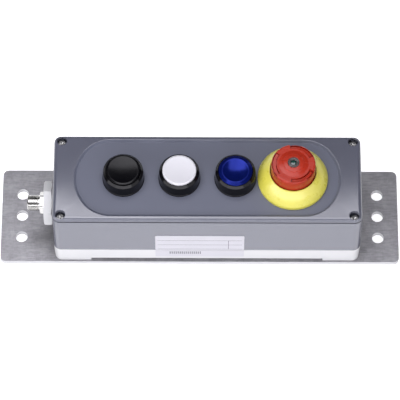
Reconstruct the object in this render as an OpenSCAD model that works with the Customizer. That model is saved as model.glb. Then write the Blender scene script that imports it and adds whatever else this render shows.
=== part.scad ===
// Pushbutton control station: three pushbuttons and a twist-release stop button in a plastic
// enclosure, on a drilled steel plate, with a circular connector at the left end.
// The origin is the centre of the plate's underside. +X runs along the plate, +Z out of the lid.

/* [Mounting plate] */
// Length of the plate
plate_l = 290; // [284:1:310]
// Depth of the plate
plate_w = 75; // [75:1:90]
// Thickness of the plate
plate_t = 4; // [3.5:0.5:6]
// Corner radius of the plate
plate_corner_r = 4; // [2:0.5:8]
// Distance of the mounting holes from the plate's ends
hole_inset = 15; // [10:0.5:16]
// Distance from one mounting hole to the next in a column
hole_pitch = 17.5; // [14:0.5:22]
// Diameter of the mounting holes
hole_d = 8.5; // [6:0.5:10]

/* [Enclosure] */
// Length of the enclosure
box_l = 221.5; // [216:0.5:226]
// Depth of the enclosure
box_w = 70; // [68:1:70]
// Place of the enclosure's centre along the plate
box_x = 5.3; // [3:0.1:7]
// Place of the enclosure's centre across the plate
box_y = -1.6; // [-2.2:0.1:2]
// Height of the base
base_h = 17; // [16:0.5:24]
// Height of the lid
lid_h = 45; // [43:0.5:50]
// Wall of the base and the lid
wall_t = 3; // [2.5:0.25:3.5]
// Floor of the base
floor_t = 6; // [5.5:0.5:8]
// Radius of the upright corners
corner_r = 5.5; // [5:0.5:8]
// Rounding of the lid's top edge
edge_r = 2.3; // [1:0.1:3]
// How far the walls lean in on each side
draft = 0.5; // [0.2:0.1:0.8]
// Length of the notch under the base's long edges
notch_l = 168; // [120:2:180]
// Height of that notch
notch_h = 3.2; // [2:0.2:4]
// Depth of that notch
notch_w = 2.6; // [1.5:0.1:4]

/* [Panel recess] */
// Length of the recess in the lid
recess_l = 191; // [186:1:196]
// Width of the recess
recess_w = 62; // [58:0.5:62.5]
// Radius of the recess's ends
recess_end_r = 36; // [34:0.5:42]
// Radius that joins an end to the straight edge
recess_blend_r = 24; // [18:0.5:26]
// Depth of the recess
recess_depth = 1.5; // [1:0.1:1.8]
// Run of the recess's sloping wall
recess_slope = 1.6; // [1:0.1:2.2]

/* [Screws] */
// Distance of the lid screws from the enclosure's ends
lid_screw_in_x = 6.1; // [5.2:0.1:6.6]
// Distance of the lid screws from the enclosure's long sides
lid_screw_in_y = 5; // [4.9:0.1:6]
// Diameter of the lid screws' heads
lid_head_d = 5.8; // [5:0.1:6.2]
// Height of the lid screws' heads
lid_head_h = 2; // [1.6:0.1:2.4]
// Diameter of the lid screws' shanks
lid_shank_d = 3.4; // [3:0.1:3.6]
// Diameter of the counterbores for the heads
counterbore_d = 6.9; // [6.8:0.1:7.2]
// Depth of the counterbores
counterbore_depth = 6.2; // [4.6:0.1:7]
// Length of the lid screws in the base's posts
lid_screw_grip = 9; // [6:0.5:10]
// Distance of the plate screws from the enclosure's middle, lengthwise
plate_screw_x = 84; // [76:1:92]
// Distance of the plate screws from the enclosure's middle, across
plate_screw_y = 20; // [16:1:24]
// Diameter of the plate screws' shanks
plate_shank_d = 3.8; // [3:0.1:4]
// Diameter of the plate screws' heads
plate_head_d = 7.6; // [6.5:0.1:8]
// Depth that the plate screws reach into the base
plate_screw_grip = 4.5; // [3:0.1:5]

/* [Pushbuttons] */
// Distance from one actuator to the next
button_pitch = 40; // [40:0.5:41]
// How far the stop button stands beyond the others' pitch
stop_shift = 1; // [0.6:0.1:2]
// Diameter of the holes in the lid
panel_hole_d = 22.4; // [22.3:0.1:22.6]
// Diameter of the necks that pass through them
neck_d = 22; // [21.6:0.1:22.1]
// Length of the necks below the lid's face
neck_l = 14; // [13:0.5:16]
// Diameter of a bezel at its foot
bezel_d = 30; // [29:0.2:30]
// Diameter of a bezel below its rim
bezel_top_d = 28.6; // [28:0.1:28.8]
// Height of a bezel over the recess
bezel_h = 12; // [11:0.5:14]
// Diameter of a cap
cap_d = 24.2; // [23:0.1:24.4]
// How far a cap stands out of its bezel
cap_proud = 1.3; // [0.8:0.1:1.8]
// Height of a cap with its skirt
cap_h = 6.4; // [5:0.1:6.8]
// Clearance round a cap
cap_gap = 0.35; // [0.25:0.05:0.45]
// Diameter of the shallow dish in the black and the white cap
cap_dish_d = 22; // [18:0.5:23]
// Depth of that shallow dish
cap_dish_depth = 0.6; // [0.3:0.1:1]
// Diameter of the dish in the blue lens
dish_d = 19.4; // [16:0.2:20]
// Depth of the lens's dish
dish_depth = 1.6; // [1:0.1:2]
// Travel of a pushbutton
button_travel = 4; // [2.5:0.1:4]
// Diameter of a plunger's stem
stem_d = 9; // [8:0.2:9.4]
// Clearance round a sliding stem
slide_gap = 0.08; // [0.05:0.01:0.1]
// Wire of a return spring
spring_wire_d = 1; // [0.8:0.1:1.2]
// Mean diameter of a return spring
spring_d = 12.8; // [12.4:0.1:13.4]
// Turns of a pushbutton's spring
spring_turns = 6; // [4:1:7]

/* [Stop button] */
// Diameter of the collar at its foot
collar_d = 50.2; // [46:0.2:50.4]
// Height of the collar
collar_h = 13; // [11:0.2:14]
// Height of the collar's upright rim
collar_rim_h = 2.6; // [2:0.1:4]
// Floor of the collar
collar_floor_t = 2.2; // [2:0.1:2.6]
// Diameter of the head
head_d = 32; // [30:0.5:33]
// Height of the head's top over the recess
head_top = 24.8; // [24.5:0.1:29]
// Height of the head's outer lip over the recess
lip_top = 23; // [22:0.5:24]
// Height of the head's lower edge over the recess
skirt_bottom = 8; // [7.6:0.1:9]
// Gap between the head and the collar
head_gap = 0.6; // [0.4:0.05:0.8]
// Travel of the stop button
stop_travel = 4; // [2.5:0.1:4]
// Width of the arrow grooves
groove_w = 3; // [2:0.1:3.2]
// Length of an arrow groove in degrees
groove_angle = 76; // [50:2:90]
// Depth of an arrow groove at its deep end
groove_depth = 1.9; // [1:0.1:2]
// Diameter of the lens in the head
lens_d = 4; // [3.6:0.1:5]
// Diameter of the ring round that lens
lens_ring_d = 8.2; // [7.4:0.1:8.6]
// Turns of the stop button's spring
stop_spring_turns = 4; // [3:1:5]

/* [Contacts] */
// Width of a contact block
block_w = 9.6; // [8:0.1:9.8]
// Depth of a contact block
block_d = 34; // [30:0.5:38]
// Height of a contact block
block_h = 21; // [18:0.5:23]
// Distance from one block's place to the next
block_pitch = 10; // [10:0.1:10.6]
// Width of a block holder
holder_w = 31; // [30.6:0.2:34]
// Depth of a block holder
holder_d = 34; // [32:0.5:38]
// Diameter of a contact plunger
pusher_d = 3; // [2.4:0.1:3.6]
// Diameter of a terminal screw's head
terminal_d = 5; // [4:0.1:5.4]

/* [Connector] */
// Diameter of the connector's thread
thread_d = 12; // [12:0.5:14]
// Length of the thread outside the nut
thread_l = 9.1; // [8:0.1:12]
// Diameter of the connector's socket
socket_d = 9; // [8.6:0.1:9.4]
// Depth of the socket
socket_depth = 8.4; // [7:0.1:10]
// Width of the connector's nut across its flats
nut_af = 14.5; // [14.5:0.5:17]
// Thickness of that nut
nut_t = 3; // [2:0.1:4]
// Width of the adapter across its flats
adapter_af = 28; // [26:0.5:29]
// Thickness of the adapter's hexagon
adapter_t = 6; // [4:0.5:8]
// Diameter of the adapter's threaded end
adapter_thread_d = 20; // [19:0.5:20]
// Thickness of the seal behind the adapter
seal_t = 0.8; // [0.6:0.1:1.2]
// Place of the connector across the enclosure
connector_y = -6.3; // [-8:0.1:4]
// Height of the connector above the base's parting face
connector_up = 17.5; // [17:0.5:24]
// Diameter of a contact pin
pin_d = 0.9; // [0.7:0.1:1.1]
// Pins round the middle pin
pin_count = 7; // [4:1:7]

/* [Labels] */
// Length of the front labels
label_l = 64; // [50:1:80]
// Place of the labels' middle along the plate
label_x = 0; // [-20:1:20]
// Height of the upper label
upper_label_h = 21.4; // [14:0.2:24]
// Height of the lower label
lower_label_h = 10.4; // [6:0.2:10.6]
// Thickness of the labels
label_t = 0.2; // [0.1:0.05:0.25]

/* [Hidden] */
$fn = 64;

// One overrun serves all cuts, and one fit clearance serves parts that are fixed to each other
overrun = 0.5;
slab_t = 0.05;
fit_gap = 0.06;
seat_gap = 0.3;

// Heights of the plate, the parting face, the lid's top and the recess's floor
plate_top = plate_t;
parting_z = plate_top + base_h;
lid_top = parting_z + lid_h;
panel_z = lid_top - recess_depth;
panel_t = wall_t;
front_y = box_y - box_w / 2;
left_x = box_x - box_l / 2;

// The four stations along the lid
black_x = box_x - 1.5 * button_pitch;
white_x = box_x - 0.5 * button_pitch;
blue_x = box_x + 0.5 * button_pitch;
stop_x = box_x + 1.5 * button_pitch + stop_shift;

// Facets of the large curves, of small pieces inside and of the springs' wire
fine_fn = 128;
hull_fn = 48;
small_fn = 24;
wire_sides = 6;
turn_steps = 10;

// Gasket between base and lid
gasket_w = 1.4;
gasket_h = 1.5;

// Corner posts
post_r = 4.6;
shank_gap = 0.2;
cross_l_share = 0.6;
cross_w_share = 0.16;
key_d_share = 0.8;
key_depth_share = 0.16;

// Panel gaskets
seal_inset = 1;
seal_margin = 1.8;
seal_in_r = neck_d / 2 + seal_inset;
seal_out_r = bezel_d / 2 - seal_margin;
panel_seal_t = 1;

// Inside of an actuator, counted from the recess's floor
guide_d = 17;
guide_web_t = 2;
guide_web_up = 4;
guide_web_top = guide_web_up - neck_l;
cup_floor = 2.4;
bar_gap = 0.4;
bar_t = 2.4;
bar_d = 7;
bar_end = 0.5;
bar_w = 2 * (block_pitch + bar_end) + pusher_d;
bar_top = -neck_l - bar_gap;
plunger_head_t = 3;
plunger_head_d = 16;
cap_wall = 1.5;
rim_drop = 0.9;
rim_land = 0.25;
rim_in_share = 0.25;
foot_h = 1.4;
foot_step = 0.25;
cap_edge = 0.5;
round_share = 0.3;

// Contact holders and blocks, counted from the recess's floor
nut_h = 4.4;
nut_out_d = 27.6;
nut_notches = 8;
nut_notch_w = 3;
nut_notch_depth = 1.2;
holder_gap = 0.8;
holder_top = -panel_t - nut_h - holder_gap;
bar_room = 0.7;
block_top = bar_top - bar_t - max(button_travel, stop_travel) - bar_room;
holder_bar_room_w = bar_w + 2 * bar_room;
holder_bar_room_d = bar_d + 2 * bar_room;
pusher_l = 13;
pusher_room = 5;
terminal_step_h = 7;
terminal_step_d = 8;
terminal_head_h = 1.6;
terminal_shank_h = 3;
terminal_inset = 3.8;
slot_share = 0.18;

// Lamp block of the blue button
lamp_post_d = 4.6;
light_tube_d = 6;
lamp_reach = 9;

// Stop button, counted from the recess's floor
collar_bore_r = head_d / 2 + head_gap;
collar_wall_top = 0.7;
body_flange_d = 27;
body_flange_t = 1.5;
body_flange_top = collar_floor_t + body_flange_t;
stop_shoulder_d = 16;
stop_shoulder_t = 1.5;
stop_shoulder_drop = 0.2;
stop_shoulder_top = body_flange_top - stop_shoulder_drop;
stop_stem_d = 10;
stop_spring_d = spring_d + spring_wire_d / 2;
collar_steps = 8;
collar_bulge_share = 0.13;
head_wall = 2;
head_roof_t = 2.8;
hub_d = 14;
hub_up = 2;
hub_bottom = skirt_bottom + hub_up;
lip_w = 1.7;
lip_round = 1.2;
head_lean = 0.3;
ridge_r = 7.4;
ridge_h = 0.5;
lens_seat = 1.5;
lens_drop = 0.3;
ring_rise = 0.6;
ring_steps = 6;
groove_in = 0.4;
groove_out_r = head_d / 2 - lip_w - groove_in;
groove_tail = 0.2;
groove_tail_depth = 0.6;
groove_steps = 12;
groove_start_angles = [263, 143, 23];

// Connector
connector_x = left_x;
connector_cy = box_y + connector_y;
connector_z = parting_z + connector_up;
adapter_out = connector_x - seal_t - adapter_t;
nut_out = adapter_out - nut_t;
nose_x = nut_out - thread_l;
adapter_grip = 9;
locknut_t = 4.5;
shell_tail_d = 11.4;
shell_tail_l = 12;
insert_lip = 0.8;
seal_edge = 0.75;
pin_reach = 6.6;
pin_tail = 4;
pin_circle_r = 2.75;
thread_chamfer = 0.6;
adapter_angle = 4;
nut_angle = 8;
key_w = 1.6;
key_depth = 0.7;

// Plan of a rectangle with round corners
module rounded_plan(l, w, r) {
    square([l - 2 * r, w], center = true);
    square([l, w - 2 * r], center = true);
    for (x = [-1, 1], y = [-1, 1])
        translate([x * (l / 2 - r), y * (w / 2 - r)])
            circle(r = r);
}

// Upright tube
module tube(r_out, r_in, h) {
    difference() {
        cylinder(r = r_out, h = h);
        translate([0, 0, -overrun])
            cylinder(r = r_in, h = h + 2 * overrun);
    }
}

// Hexagonal prism across its flats, along Z
module hexagon(af, h) {
    cylinder(d = af / cos(30), h = h, $fn = 6);
}

// Something laid with its Z along the connector's outward axis, with its foot at x
module along_connector(x) {
    translate([x, connector_cy, connector_z])
        rotate([0, -90, 0])
            children();
}

// Something at a station on the recess's floor
module at_station(x) {
    translate([x, box_y, panel_z])
        children();
}

// The places of the four lid screws
module at_lid_screws() {
    for (x = [-1, 1], y = [-1, 1])
        translate([
            box_x + x * (box_l / 2 - lid_screw_in_x),
            box_y + y * (box_w / 2 - lid_screw_in_y)
        ])
            children();
}

// The places of the four plate screws
module at_plate_screws() {
    for (x = [-1, 1], y = [-1, 1])
        translate([box_x + x * plate_screw_x, box_y + y * plate_screw_y])
            children();
}

// Unbroken coil of round wire, resting on the ground plane, h high over all
module coil(d, wire_d, turns, h) {
    rings = turns * turn_steps;
    rise = h - wire_d;
    function ring_point(i, k) =
        let (a = 360 * i / turn_steps, b = 360 * k / wire_sides, r = d / 2 + wire_d / 2 * cos(b))
        [r * cos(a), r * sin(a), wire_d / 2 + rise * i / rings + wire_d / 2 * sin(b)];
    points = [for (i = [0:rings], k = [0:wire_sides - 1]) ring_point(i, k)];
    sides = [
        for (i = [0:rings - 1], k = [0:wire_sides - 1])
            let (a = i * wire_sides + k, b = i * wire_sides + (k + 1) % wire_sides)
            each [[a, b, a + wire_sides], [b, b + wire_sides, a + wire_sides]]
    ];
    first = [for (k = [1:wire_sides - 2]) [0, k + 1, k]];
    last_ring = rings * wire_sides;
    last = [for (k = [1:wire_sides - 2]) [last_ring, last_ring + k, last_ring + k + 1]];
    echo("least gap between turns", rise / turns - wire_d);
    polyhedron(points = points, faces = concat(sides, first, last), convexity = turns * 2);
}

module mounting_plate() {
    color("silver")
        difference() {
            linear_extrude(plate_t)
                rounded_plan(plate_l, plate_w, plate_corner_r);
            for (x = [-1, 1], y = [-1, 0, 1])
                translate([x * (plate_l / 2 - hole_inset), y * hole_pitch, -overrun])
                    cylinder(d = hole_d, h = plate_t + 2 * overrun);
            at_plate_screws() {
                translate([0, 0, -overrun])
                    cylinder(d = plate_shank_d + 2 * shank_gap, h = plate_t + 2 * overrun);
                translate([0, 0, -overrun])
                    cylinder(
                        d1 = plate_head_d + 2 * shank_gap + 2 * overrun,
                        d2 = plate_shank_d + 2 * shank_gap,
                        h = overrun + (plate_head_d - plate_shank_d) / 2
                    );
            }
        }
}

module plate_screws() {
    color("gainsboro")
        at_plate_screws()
            difference() {
                union() {
                    cylinder(
                        d1 = plate_head_d,
                        d2 = plate_shank_d,
                        h = (plate_head_d - plate_shank_d) / 2
                    );
                    cylinder(d = plate_shank_d, h = plate_t + plate_screw_grip);
                }
                translate([0, 0, -overrun])
                    cylinder(
                        d = plate_shank_d * key_d_share,
                        h = overrun + plate_head_d * key_depth_share,
                        $fn = 6
                    );
            }
}

// Outside of the base: four leaning corners drawn together
module base_skin() {
    hull()
        for (x = [-1, 1], y = [-1, 1])
            translate([
                box_x + x * (box_l / 2 - corner_r),
                box_y + y * (box_w / 2 - corner_r),
                plate_top
            ])
                cylinder(r1 = corner_r - draft, r2 = corner_r, h = base_h, $fn = hull_fn);
}

module base() {
    room_top = parting_z + overrun;
    room_z = plate_top + floor_t;
    color("whitesmoke")
        difference() {
            base_skin();
            difference() {
                translate([box_x, box_y, room_z])
                    linear_extrude(room_top - room_z)
                        rounded_plan(box_l - 2 * wall_t, box_w - 2 * wall_t, corner_r - wall_t);
                at_lid_screws()
                    translate([0, 0, plate_top])
                        cylinder(r = post_r, h = base_h + overrun);
            }
            at_lid_screws()
                translate([0, 0, parting_z - lid_screw_grip - overrun])
                    cylinder(d = lid_shank_d + fit_gap, h = lid_screw_grip + 2 * overrun);
            at_plate_screws()
                translate([0, 0, plate_top - overrun])
                    cylinder(
                        d = plate_shank_d + fit_gap,
                        h = plate_screw_grip + 2 * overrun
                    );
            for (y = [-1, 1])
                translate([box_x, box_y + y * box_w / 2, plate_top])
                    cube([notch_l, 2 * notch_w, 2 * notch_h], center = true);
        }
}

module lid_gasket() {
    color("dimgray")
        translate([box_x, box_y, parting_z])
            linear_extrude(gasket_h)
                difference() {
                    rounded_plan(
                        box_l - wall_t + gasket_w,
                        box_w - wall_t + gasket_w,
                        corner_r - wall_t / 2 + gasket_w / 2
                    );
                    rounded_plan(
                        box_l - wall_t - gasket_w,
                        box_w - wall_t - gasket_w,
                        corner_r - wall_t / 2 - gasket_w / 2
                    );
                }
}

// Outside of the lid: four leaning corners with a round top edge, drawn together
module lid_skin() {
    top_r = corner_r - draft;
    hull()
        for (x = [-1, 1], y = [-1, 1])
            translate([
                box_x + x * (box_l / 2 - corner_r),
                box_y + y * (box_w / 2 - corner_r),
                parting_z
            ]) {
                cylinder(r1 = corner_r, r2 = top_r, h = lid_h - edge_r, $fn = hull_fn);
                translate([0, 0, lid_h - edge_r])
                    rotate_extrude($fn = hull_fn)
                        intersection() {
                            union() {
                                square([top_r - edge_r, edge_r]);
                                translate([top_r - edge_r, 0])
                                    circle(r = edge_r, $fn = hull_fn / 2);
                            }
                            square([top_r, edge_r]);
                        }
            }
}

// Plan of the recess: straight edges, a wide arc at each end and a blend between them
module recess_plan(inset) {
    blend_y = recess_w / 2 - recess_blend_r;
    reach = recess_end_r - recess_blend_r;
    blend_dx = sqrt(reach * reach - blend_y * blend_y);
    end_x = recess_l / 2 - recess_end_r;
    tangent_y = recess_end_r * blend_y / reach;
    hull()
        for (side = [-1, 1]) {
            for (y = [-1, 1])
                translate([side * (end_x + blend_dx), y * blend_y])
                    circle(r = recess_blend_r - inset, $fn = fine_fn);
            intersection() {
                translate([side * end_x, 0])
                    circle(r = recess_end_r - inset, $fn = fine_fn);
                square([recess_l, 2 * tangent_y], center = true);
            }
        }
}

// The recess's room, widening towards the top
module recess_cut() {
    slope = recess_slope / recess_depth;
    hull() {
        translate([box_x, box_y, panel_z])
            linear_extrude(slab_t)
                recess_plan(recess_slope);
        translate([box_x, box_y, lid_top + overrun])
            linear_extrude(slab_t)
                recess_plan(-slope * overrun);
    }
}

module lid() {
    room_z = parting_z - overrun;
    room_top = panel_z - panel_t;
    color("slategray")
        difference() {
            lid_skin();
            difference() {
                translate([box_x, box_y, room_z])
                    linear_extrude(room_top - room_z)
                        rounded_plan(box_l - 2 * wall_t, box_w - 2 * wall_t, corner_r - wall_t);
                at_lid_screws()
                    translate([0, 0, room_z - overrun])
                        cylinder(r = post_r, h = room_top - room_z + 2 * overrun);
            }
            recess_cut();
            for (x = [black_x, white_x, blue_x, stop_x])
                translate([x, box_y, room_top - overrun])
                    cylinder(d = panel_hole_d, h = panel_t + 2 * overrun);
            at_lid_screws() {
                translate([0, 0, room_z])
                    cylinder(d = lid_shank_d + 2 * shank_gap, h = lid_h + 2 * overrun);
                translate([0, 0, lid_top - counterbore_depth])
                    cylinder(d = counterbore_d, h = counterbore_depth + overrun);
            }
            translate([box_x, box_y, parting_z - overrun])
                linear_extrude(gasket_h + overrun)
                    difference() {
                        rounded_plan(
                            box_l - wall_t + gasket_w + 2 * fit_gap,
                            box_w - wall_t + gasket_w + 2 * fit_gap,
                            corner_r - wall_t / 2 + gasket_w / 2 + fit_gap
                        );
                        rounded_plan(
                            box_l - wall_t - gasket_w - 2 * fit_gap,
                            box_w - wall_t - gasket_w - 2 * fit_gap,
                            corner_r - wall_t / 2 - gasket_w / 2 - fit_gap
                        );
                    }
            along_connector(left_x + wall_t + overrun)
                cylinder(d = adapter_thread_d + 2 * shank_gap, h = wall_t + 2 * overrun);
        }
}

module lid_screws() {
    head_z = lid_top - counterbore_depth;
    foot_z = parting_z - lid_screw_grip;
    color("lightgray")
        at_lid_screws()
            difference() {
                union() {
                    translate([0, 0, head_z])
                        cylinder(d = lid_head_d, h = lid_head_h);
                    translate([0, 0, foot_z])
                        cylinder(d = lid_shank_d, h = head_z - foot_z + lid_head_h / 2);
                }
                for (a = [0, 90])
                    translate([0, 0, head_z + lid_head_h])
                        rotate([0, 0, a])
                            cube(
                                [
                                    lid_head_d * cross_l_share,
                                    lid_head_d * cross_w_share,
                                    lid_head_h
                                ],
                                center = true
                            );
            }
}

module upper_label() {
    color("white")
        translate([label_x - label_l / 2, front_y - label_t, parting_z + seat_gap])
            cube([label_l, label_t, upper_label_h]);
}

module lower_label() {
    color("white")
        translate([label_x - label_l / 2, front_y - label_t, parting_z - seat_gap - lower_label_h])
            cube([label_l, label_t, lower_label_h]);
}

module connector_adapter() {
    color("gainsboro")
        difference() {
            union() {
                along_connector(left_x - seal_t)
                    rotate([0, 0, adapter_angle])
                        hexagon(adapter_af, adapter_t);
                along_connector(left_x + wall_t + adapter_grip)
                    cylinder(d = adapter_thread_d, h = wall_t + adapter_grip + seal_t + overrun);
            }
            along_connector(left_x + wall_t + adapter_grip + overrun)
                cylinder(
                    d = shell_tail_d + fit_gap * 2,
                    h = wall_t + adapter_grip + seal_t + adapter_t + 2 * overrun
                );
        }
}

module adapter_seal() {
    color("dimgray")
        along_connector(left_x)
            tube(adapter_af / 2 - seal_edge, adapter_thread_d / 2 + fit_gap, seal_t);
}

module adapter_locknut() {
    color("gainsboro")
        difference() {
            along_connector(left_x + wall_t + locknut_t)
                hexagon(adapter_af, locknut_t);
            along_connector(left_x + wall_t + locknut_t + overrun)
                cylinder(d = adapter_thread_d + 2 * fit_gap, h = locknut_t + 2 * overrun);
        }
}

module connector_shell() {
    socket_floor = nose_x + socket_depth;
    tail_x = adapter_out + shell_tail_l;
    color("lightsteelblue")
        difference() {
            union() {
                along_connector(nut_out)
                    cylinder(d = thread_d, h = thread_l - thread_chamfer);
                along_connector(nose_x + thread_chamfer)
                    cylinder(
                        d1 = thread_d,
                        d2 = thread_d - 2 * thread_chamfer,
                        h = thread_chamfer
                    );
                along_connector(adapter_out)
                    rotate([0, 0, nut_angle])
                        hexagon(nut_af, nut_t);
                along_connector(tail_x)
                    cylinder(d = shell_tail_d, h = shell_tail_l + overrun);
            }
            along_connector(socket_floor)
                cylinder(d = socket_d, h = socket_depth + overrun);
            along_connector(tail_x + overrun)
                cylinder(d = socket_d - 2 * insert_lip, h = tail_x - nose_x + 2 * overrun);
        }
}

module connector_insert() {
    socket_floor = nose_x + socket_depth;
    tail_x = adapter_out + shell_tail_l;
    color("black")
        difference() {
            along_connector(tail_x)
                cylinder(d = socket_d - 2 * insert_lip - 2 * fit_gap, h = tail_x - socket_floor);
            at_pins(tail_x + overrun)
                cylinder(d = pin_d + 2 * fit_gap, h = tail_x - nose_x, $fn = small_fn);
            along_connector(socket_floor + key_depth)
                translate([socket_d / 2 - insert_lip - key_depth, -key_w / 2, 0])
                    cube([2 * key_depth, key_w, 2 * key_depth]);
        }
}

// The places of the contact pins
module at_pins(x) {
    along_connector(x) {
        children();
        for (i = [0:pin_count - 1])
            rotate([0, 0, 360 * (i + 0.5) / pin_count])
                translate([pin_circle_r, 0, 0])
                    children();
    }
}

module connector_pins() {
    socket_floor = nose_x + socket_depth;
    tail_x = adapter_out + shell_tail_l + pin_tail;
    color("goldenrod")
        at_pins(tail_x)
            cylinder(d = pin_d, h = tail_x - socket_floor + pin_reach, $fn = small_fn);
}

// Bezel and threaded neck of a pushbutton, in one moulding
module bezel() {
    cap_bore_r = cap_d / 2 + cap_gap;
    foot_r = bezel_d / 2;
    top_r = bezel_top_d / 2;
    color("#1c1c1e")
        difference() {
            union() {
                rotate_extrude($fn = fine_fn)
                    polygon([
                        [0, 0],
                        [foot_r, 0],
                        [foot_r, foot_h],
                        [foot_r - foot_step, foot_h + foot_step],
                        [top_r, bezel_h - 2 * rim_drop],
                        [top_r - rim_drop * rim_in_share, bezel_h - rim_drop],
                        [cap_bore_r + rim_land, bezel_h],
                        [0, bezel_h]
                    ]);
                translate([0, 0, -neck_l])
                    cylinder(d = neck_d, h = neck_l + overrun);
            }
            translate([0, 0, cup_floor])
                cylinder(r = cap_bore_r, h = bezel_h);
            translate([0, 0, guide_web_top])
                cylinder(d = guide_d, h = bezel_h - guide_web_top);
            translate([0, 0, -neck_l - overrun])
                cylinder(d = stem_d + 2 * slide_gap, h = neck_l + bezel_h);
            translate([0, 0, -neck_l - overrun])
                cylinder(d = guide_d, h = neck_l + overrun + guide_web_top - guide_web_t);
            translate([0, 0, -overrun])
                tube(seal_out_r + fit_gap, seal_in_r - fit_gap, panel_seal_t + overrun);
        }
}

// Flat ring that seals an actuator on the lid
module panel_gasket() {
    color("dimgray")
        tube(seal_out_r, seal_in_r, panel_seal_t);
}

// Cap with its skirt and a round dish in its top
module cap(dish_w, dish) {
    top = bezel_h + cap_proud;
    r = cap_d / 2;
    dish_r = dish_w / 2;
    ball_r = (dish_r * dish_r + dish * dish) / (2 * dish);
    difference() {
        rotate_extrude($fn = fine_fn)
            polygon([
                [0, top - cap_h],
                [r, top - cap_h],
                [r, top - cap_edge],
                [r - cap_edge * round_share, top - cap_edge * round_share],
                [r - cap_edge, top],
                [0, top]
            ]);
        translate([0, 0, top - cap_h - overrun])
            cylinder(r = r - cap_wall, h = cap_h - cap_wall + overrun - dish);
        translate([0, 0, top + ball_r - dish])
            sphere(r = ball_r, $fn = fine_fn);
    }
}

// Plunger: the head carries the cap, and the bar below works the contacts
module plunger(tube_d, dish) {
    head_top_z = bezel_h + cap_proud - cap_wall - dish;
    color("dimgray")
        difference() {
            union() {
                translate([0, 0, head_top_z - plunger_head_t])
                    cylinder(d = plunger_head_d, h = plunger_head_t);
                translate([0, 0, bar_top - bar_t])
                    cylinder(d = stem_d, h = head_top_z - bar_top + bar_t);
                translate([-bar_w / 2, -bar_d / 2, bar_top - bar_t])
                    cube([bar_w, bar_d, bar_t]);
            }
            if (tube_d > 0)
                translate([0, 0, bar_top - bar_t - overrun])
                    cylinder(d = tube_d, h = head_top_z - bar_top + bar_t + 2 * overrun);
        }
}

module button_spring(dish) {
    under_head = bezel_h + cap_proud - cap_wall - dish - plunger_head_t;
    color("silver")
        translate([0, 0, guide_web_top])
            coil(spring_d, spring_wire_d, spring_turns, under_head - guide_web_top);
}

// Moulded block with a stepped terminal at each end, its foot at the ground plane
module block_body() {
    step_d = terminal_step_d;
    step_h = terminal_step_h;
    difference() {
        translate([-block_w / 2, -block_d / 2, 0])
            cube([block_w, block_d, block_h]);
        for (y = [-1, 1])
            translate([
                -block_w / 2 - overrun,
                y * (block_d / 2 - step_d / 2) - (step_d / 2 + overrun),
                block_h - step_h
            ])
                cube([block_w + 2 * overrun, step_d + 2 * overrun, step_h + overrun]);
        at_terminals(block_h - step_h - terminal_shank_h - overrun)
            cylinder(
                d = terminal_d / 2 + 2 * fit_gap,
                h = terminal_shank_h + 2 * overrun,
                $fn = small_fn
            );
    }
}

// Contact block hung at x from its holder, with the pusher's bore
module contact_block(x) {
    color("gainsboro")
        translate([x, 0, block_top - block_h])
            difference() {
                block_body();
                translate([0, 0, block_h - pusher_l])
                    cylinder(d = pusher_d + 2 * slide_gap, h = pusher_l + overrun, $fn = small_fn);
            }
}

// The two terminal screws of a block, at height z in it
module at_terminals(z) {
    for (y = [-1, 1])
        translate([0, y * (block_d / 2 - terminal_inset), z])
            children();
}

// Pusher of a contact block, under the plunger's bar
module contact_plunger(x) {
    color("white")
        translate([x, 0, bar_top - bar_t - (pusher_l - pusher_room + bar_room)])
            cylinder(d = pusher_d, h = pusher_l - pusher_room + bar_room, $fn = small_fn);
}

// Slotted terminal screws of the block hung at x
module block_screws(x) {
    translate([x, 0, block_top - block_h])
        at_terminals(block_h - terminal_step_h)
            difference() {
                union() {
                    cylinder(d = terminal_d, h = terminal_head_h, $fn = small_fn);
                    translate([0, 0, -terminal_shank_h])
                        cylinder(d = terminal_d / 2, h = terminal_shank_h, $fn = small_fn);
                }
                translate([0, 0, terminal_head_h])
                    cube(
                        [terminal_d + 2 * overrun, terminal_d * slot_share, terminal_head_h],
                        center = true
                    );
            }
}

// Notched ring nut on a neck, under the lid
module ring_nut() {
    difference() {
        translate([0, 0, -panel_t - nut_h])
            tube(nut_out_d / 2, neck_d / 2 + fit_gap, nut_h);
        for (i = [0:nut_notches - 1])
            rotate([0, 0, 360 * i / nut_notches])
                translate([nut_out_d / 2, 0, -panel_t - nut_h / 2])
                    cube([2 * nut_notch_depth, nut_notch_w, nut_h + 2 * overrun], center = true);
    }
}

// Frame that clips on a neck and carries the contact blocks
module contact_holder() {
    h = holder_top - block_top;
    difference() {
        translate([-holder_w / 2, -holder_d / 2, block_top])
            cube([holder_w, holder_d, h]);
        translate([0, 0, -neck_l])
            cylinder(d = neck_d + 2 * fit_gap, h = neck_l);
        translate([
            -holder_bar_room_w / 2,
            -holder_bar_room_d / 2,
            block_top - overrun
        ])
            cube([holder_bar_room_w, holder_bar_room_d, -neck_l - block_top + 2 * overrun]);
        translate([0, 0, block_top - overrun])
            cylinder(d = stop_stem_d + 2 * bar_room, h = -neck_l - block_top + 2 * overrun);
    }
}

// Lamp block: its post stands in the hollow stem
module lamp_block() {
    tip = bar_top - bar_t + lamp_reach;
    color("whitesmoke") {
        translate([0, 0, block_top - block_h])
            block_body();
        translate([0, 0, block_top - overrun])
            cylinder(d = lamp_post_d, h = tip - block_top + overrun - lamp_post_d / 2);
        translate([0, 0, tip - lamp_post_d / 2])
            sphere(d = lamp_post_d);
    }
}

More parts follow.
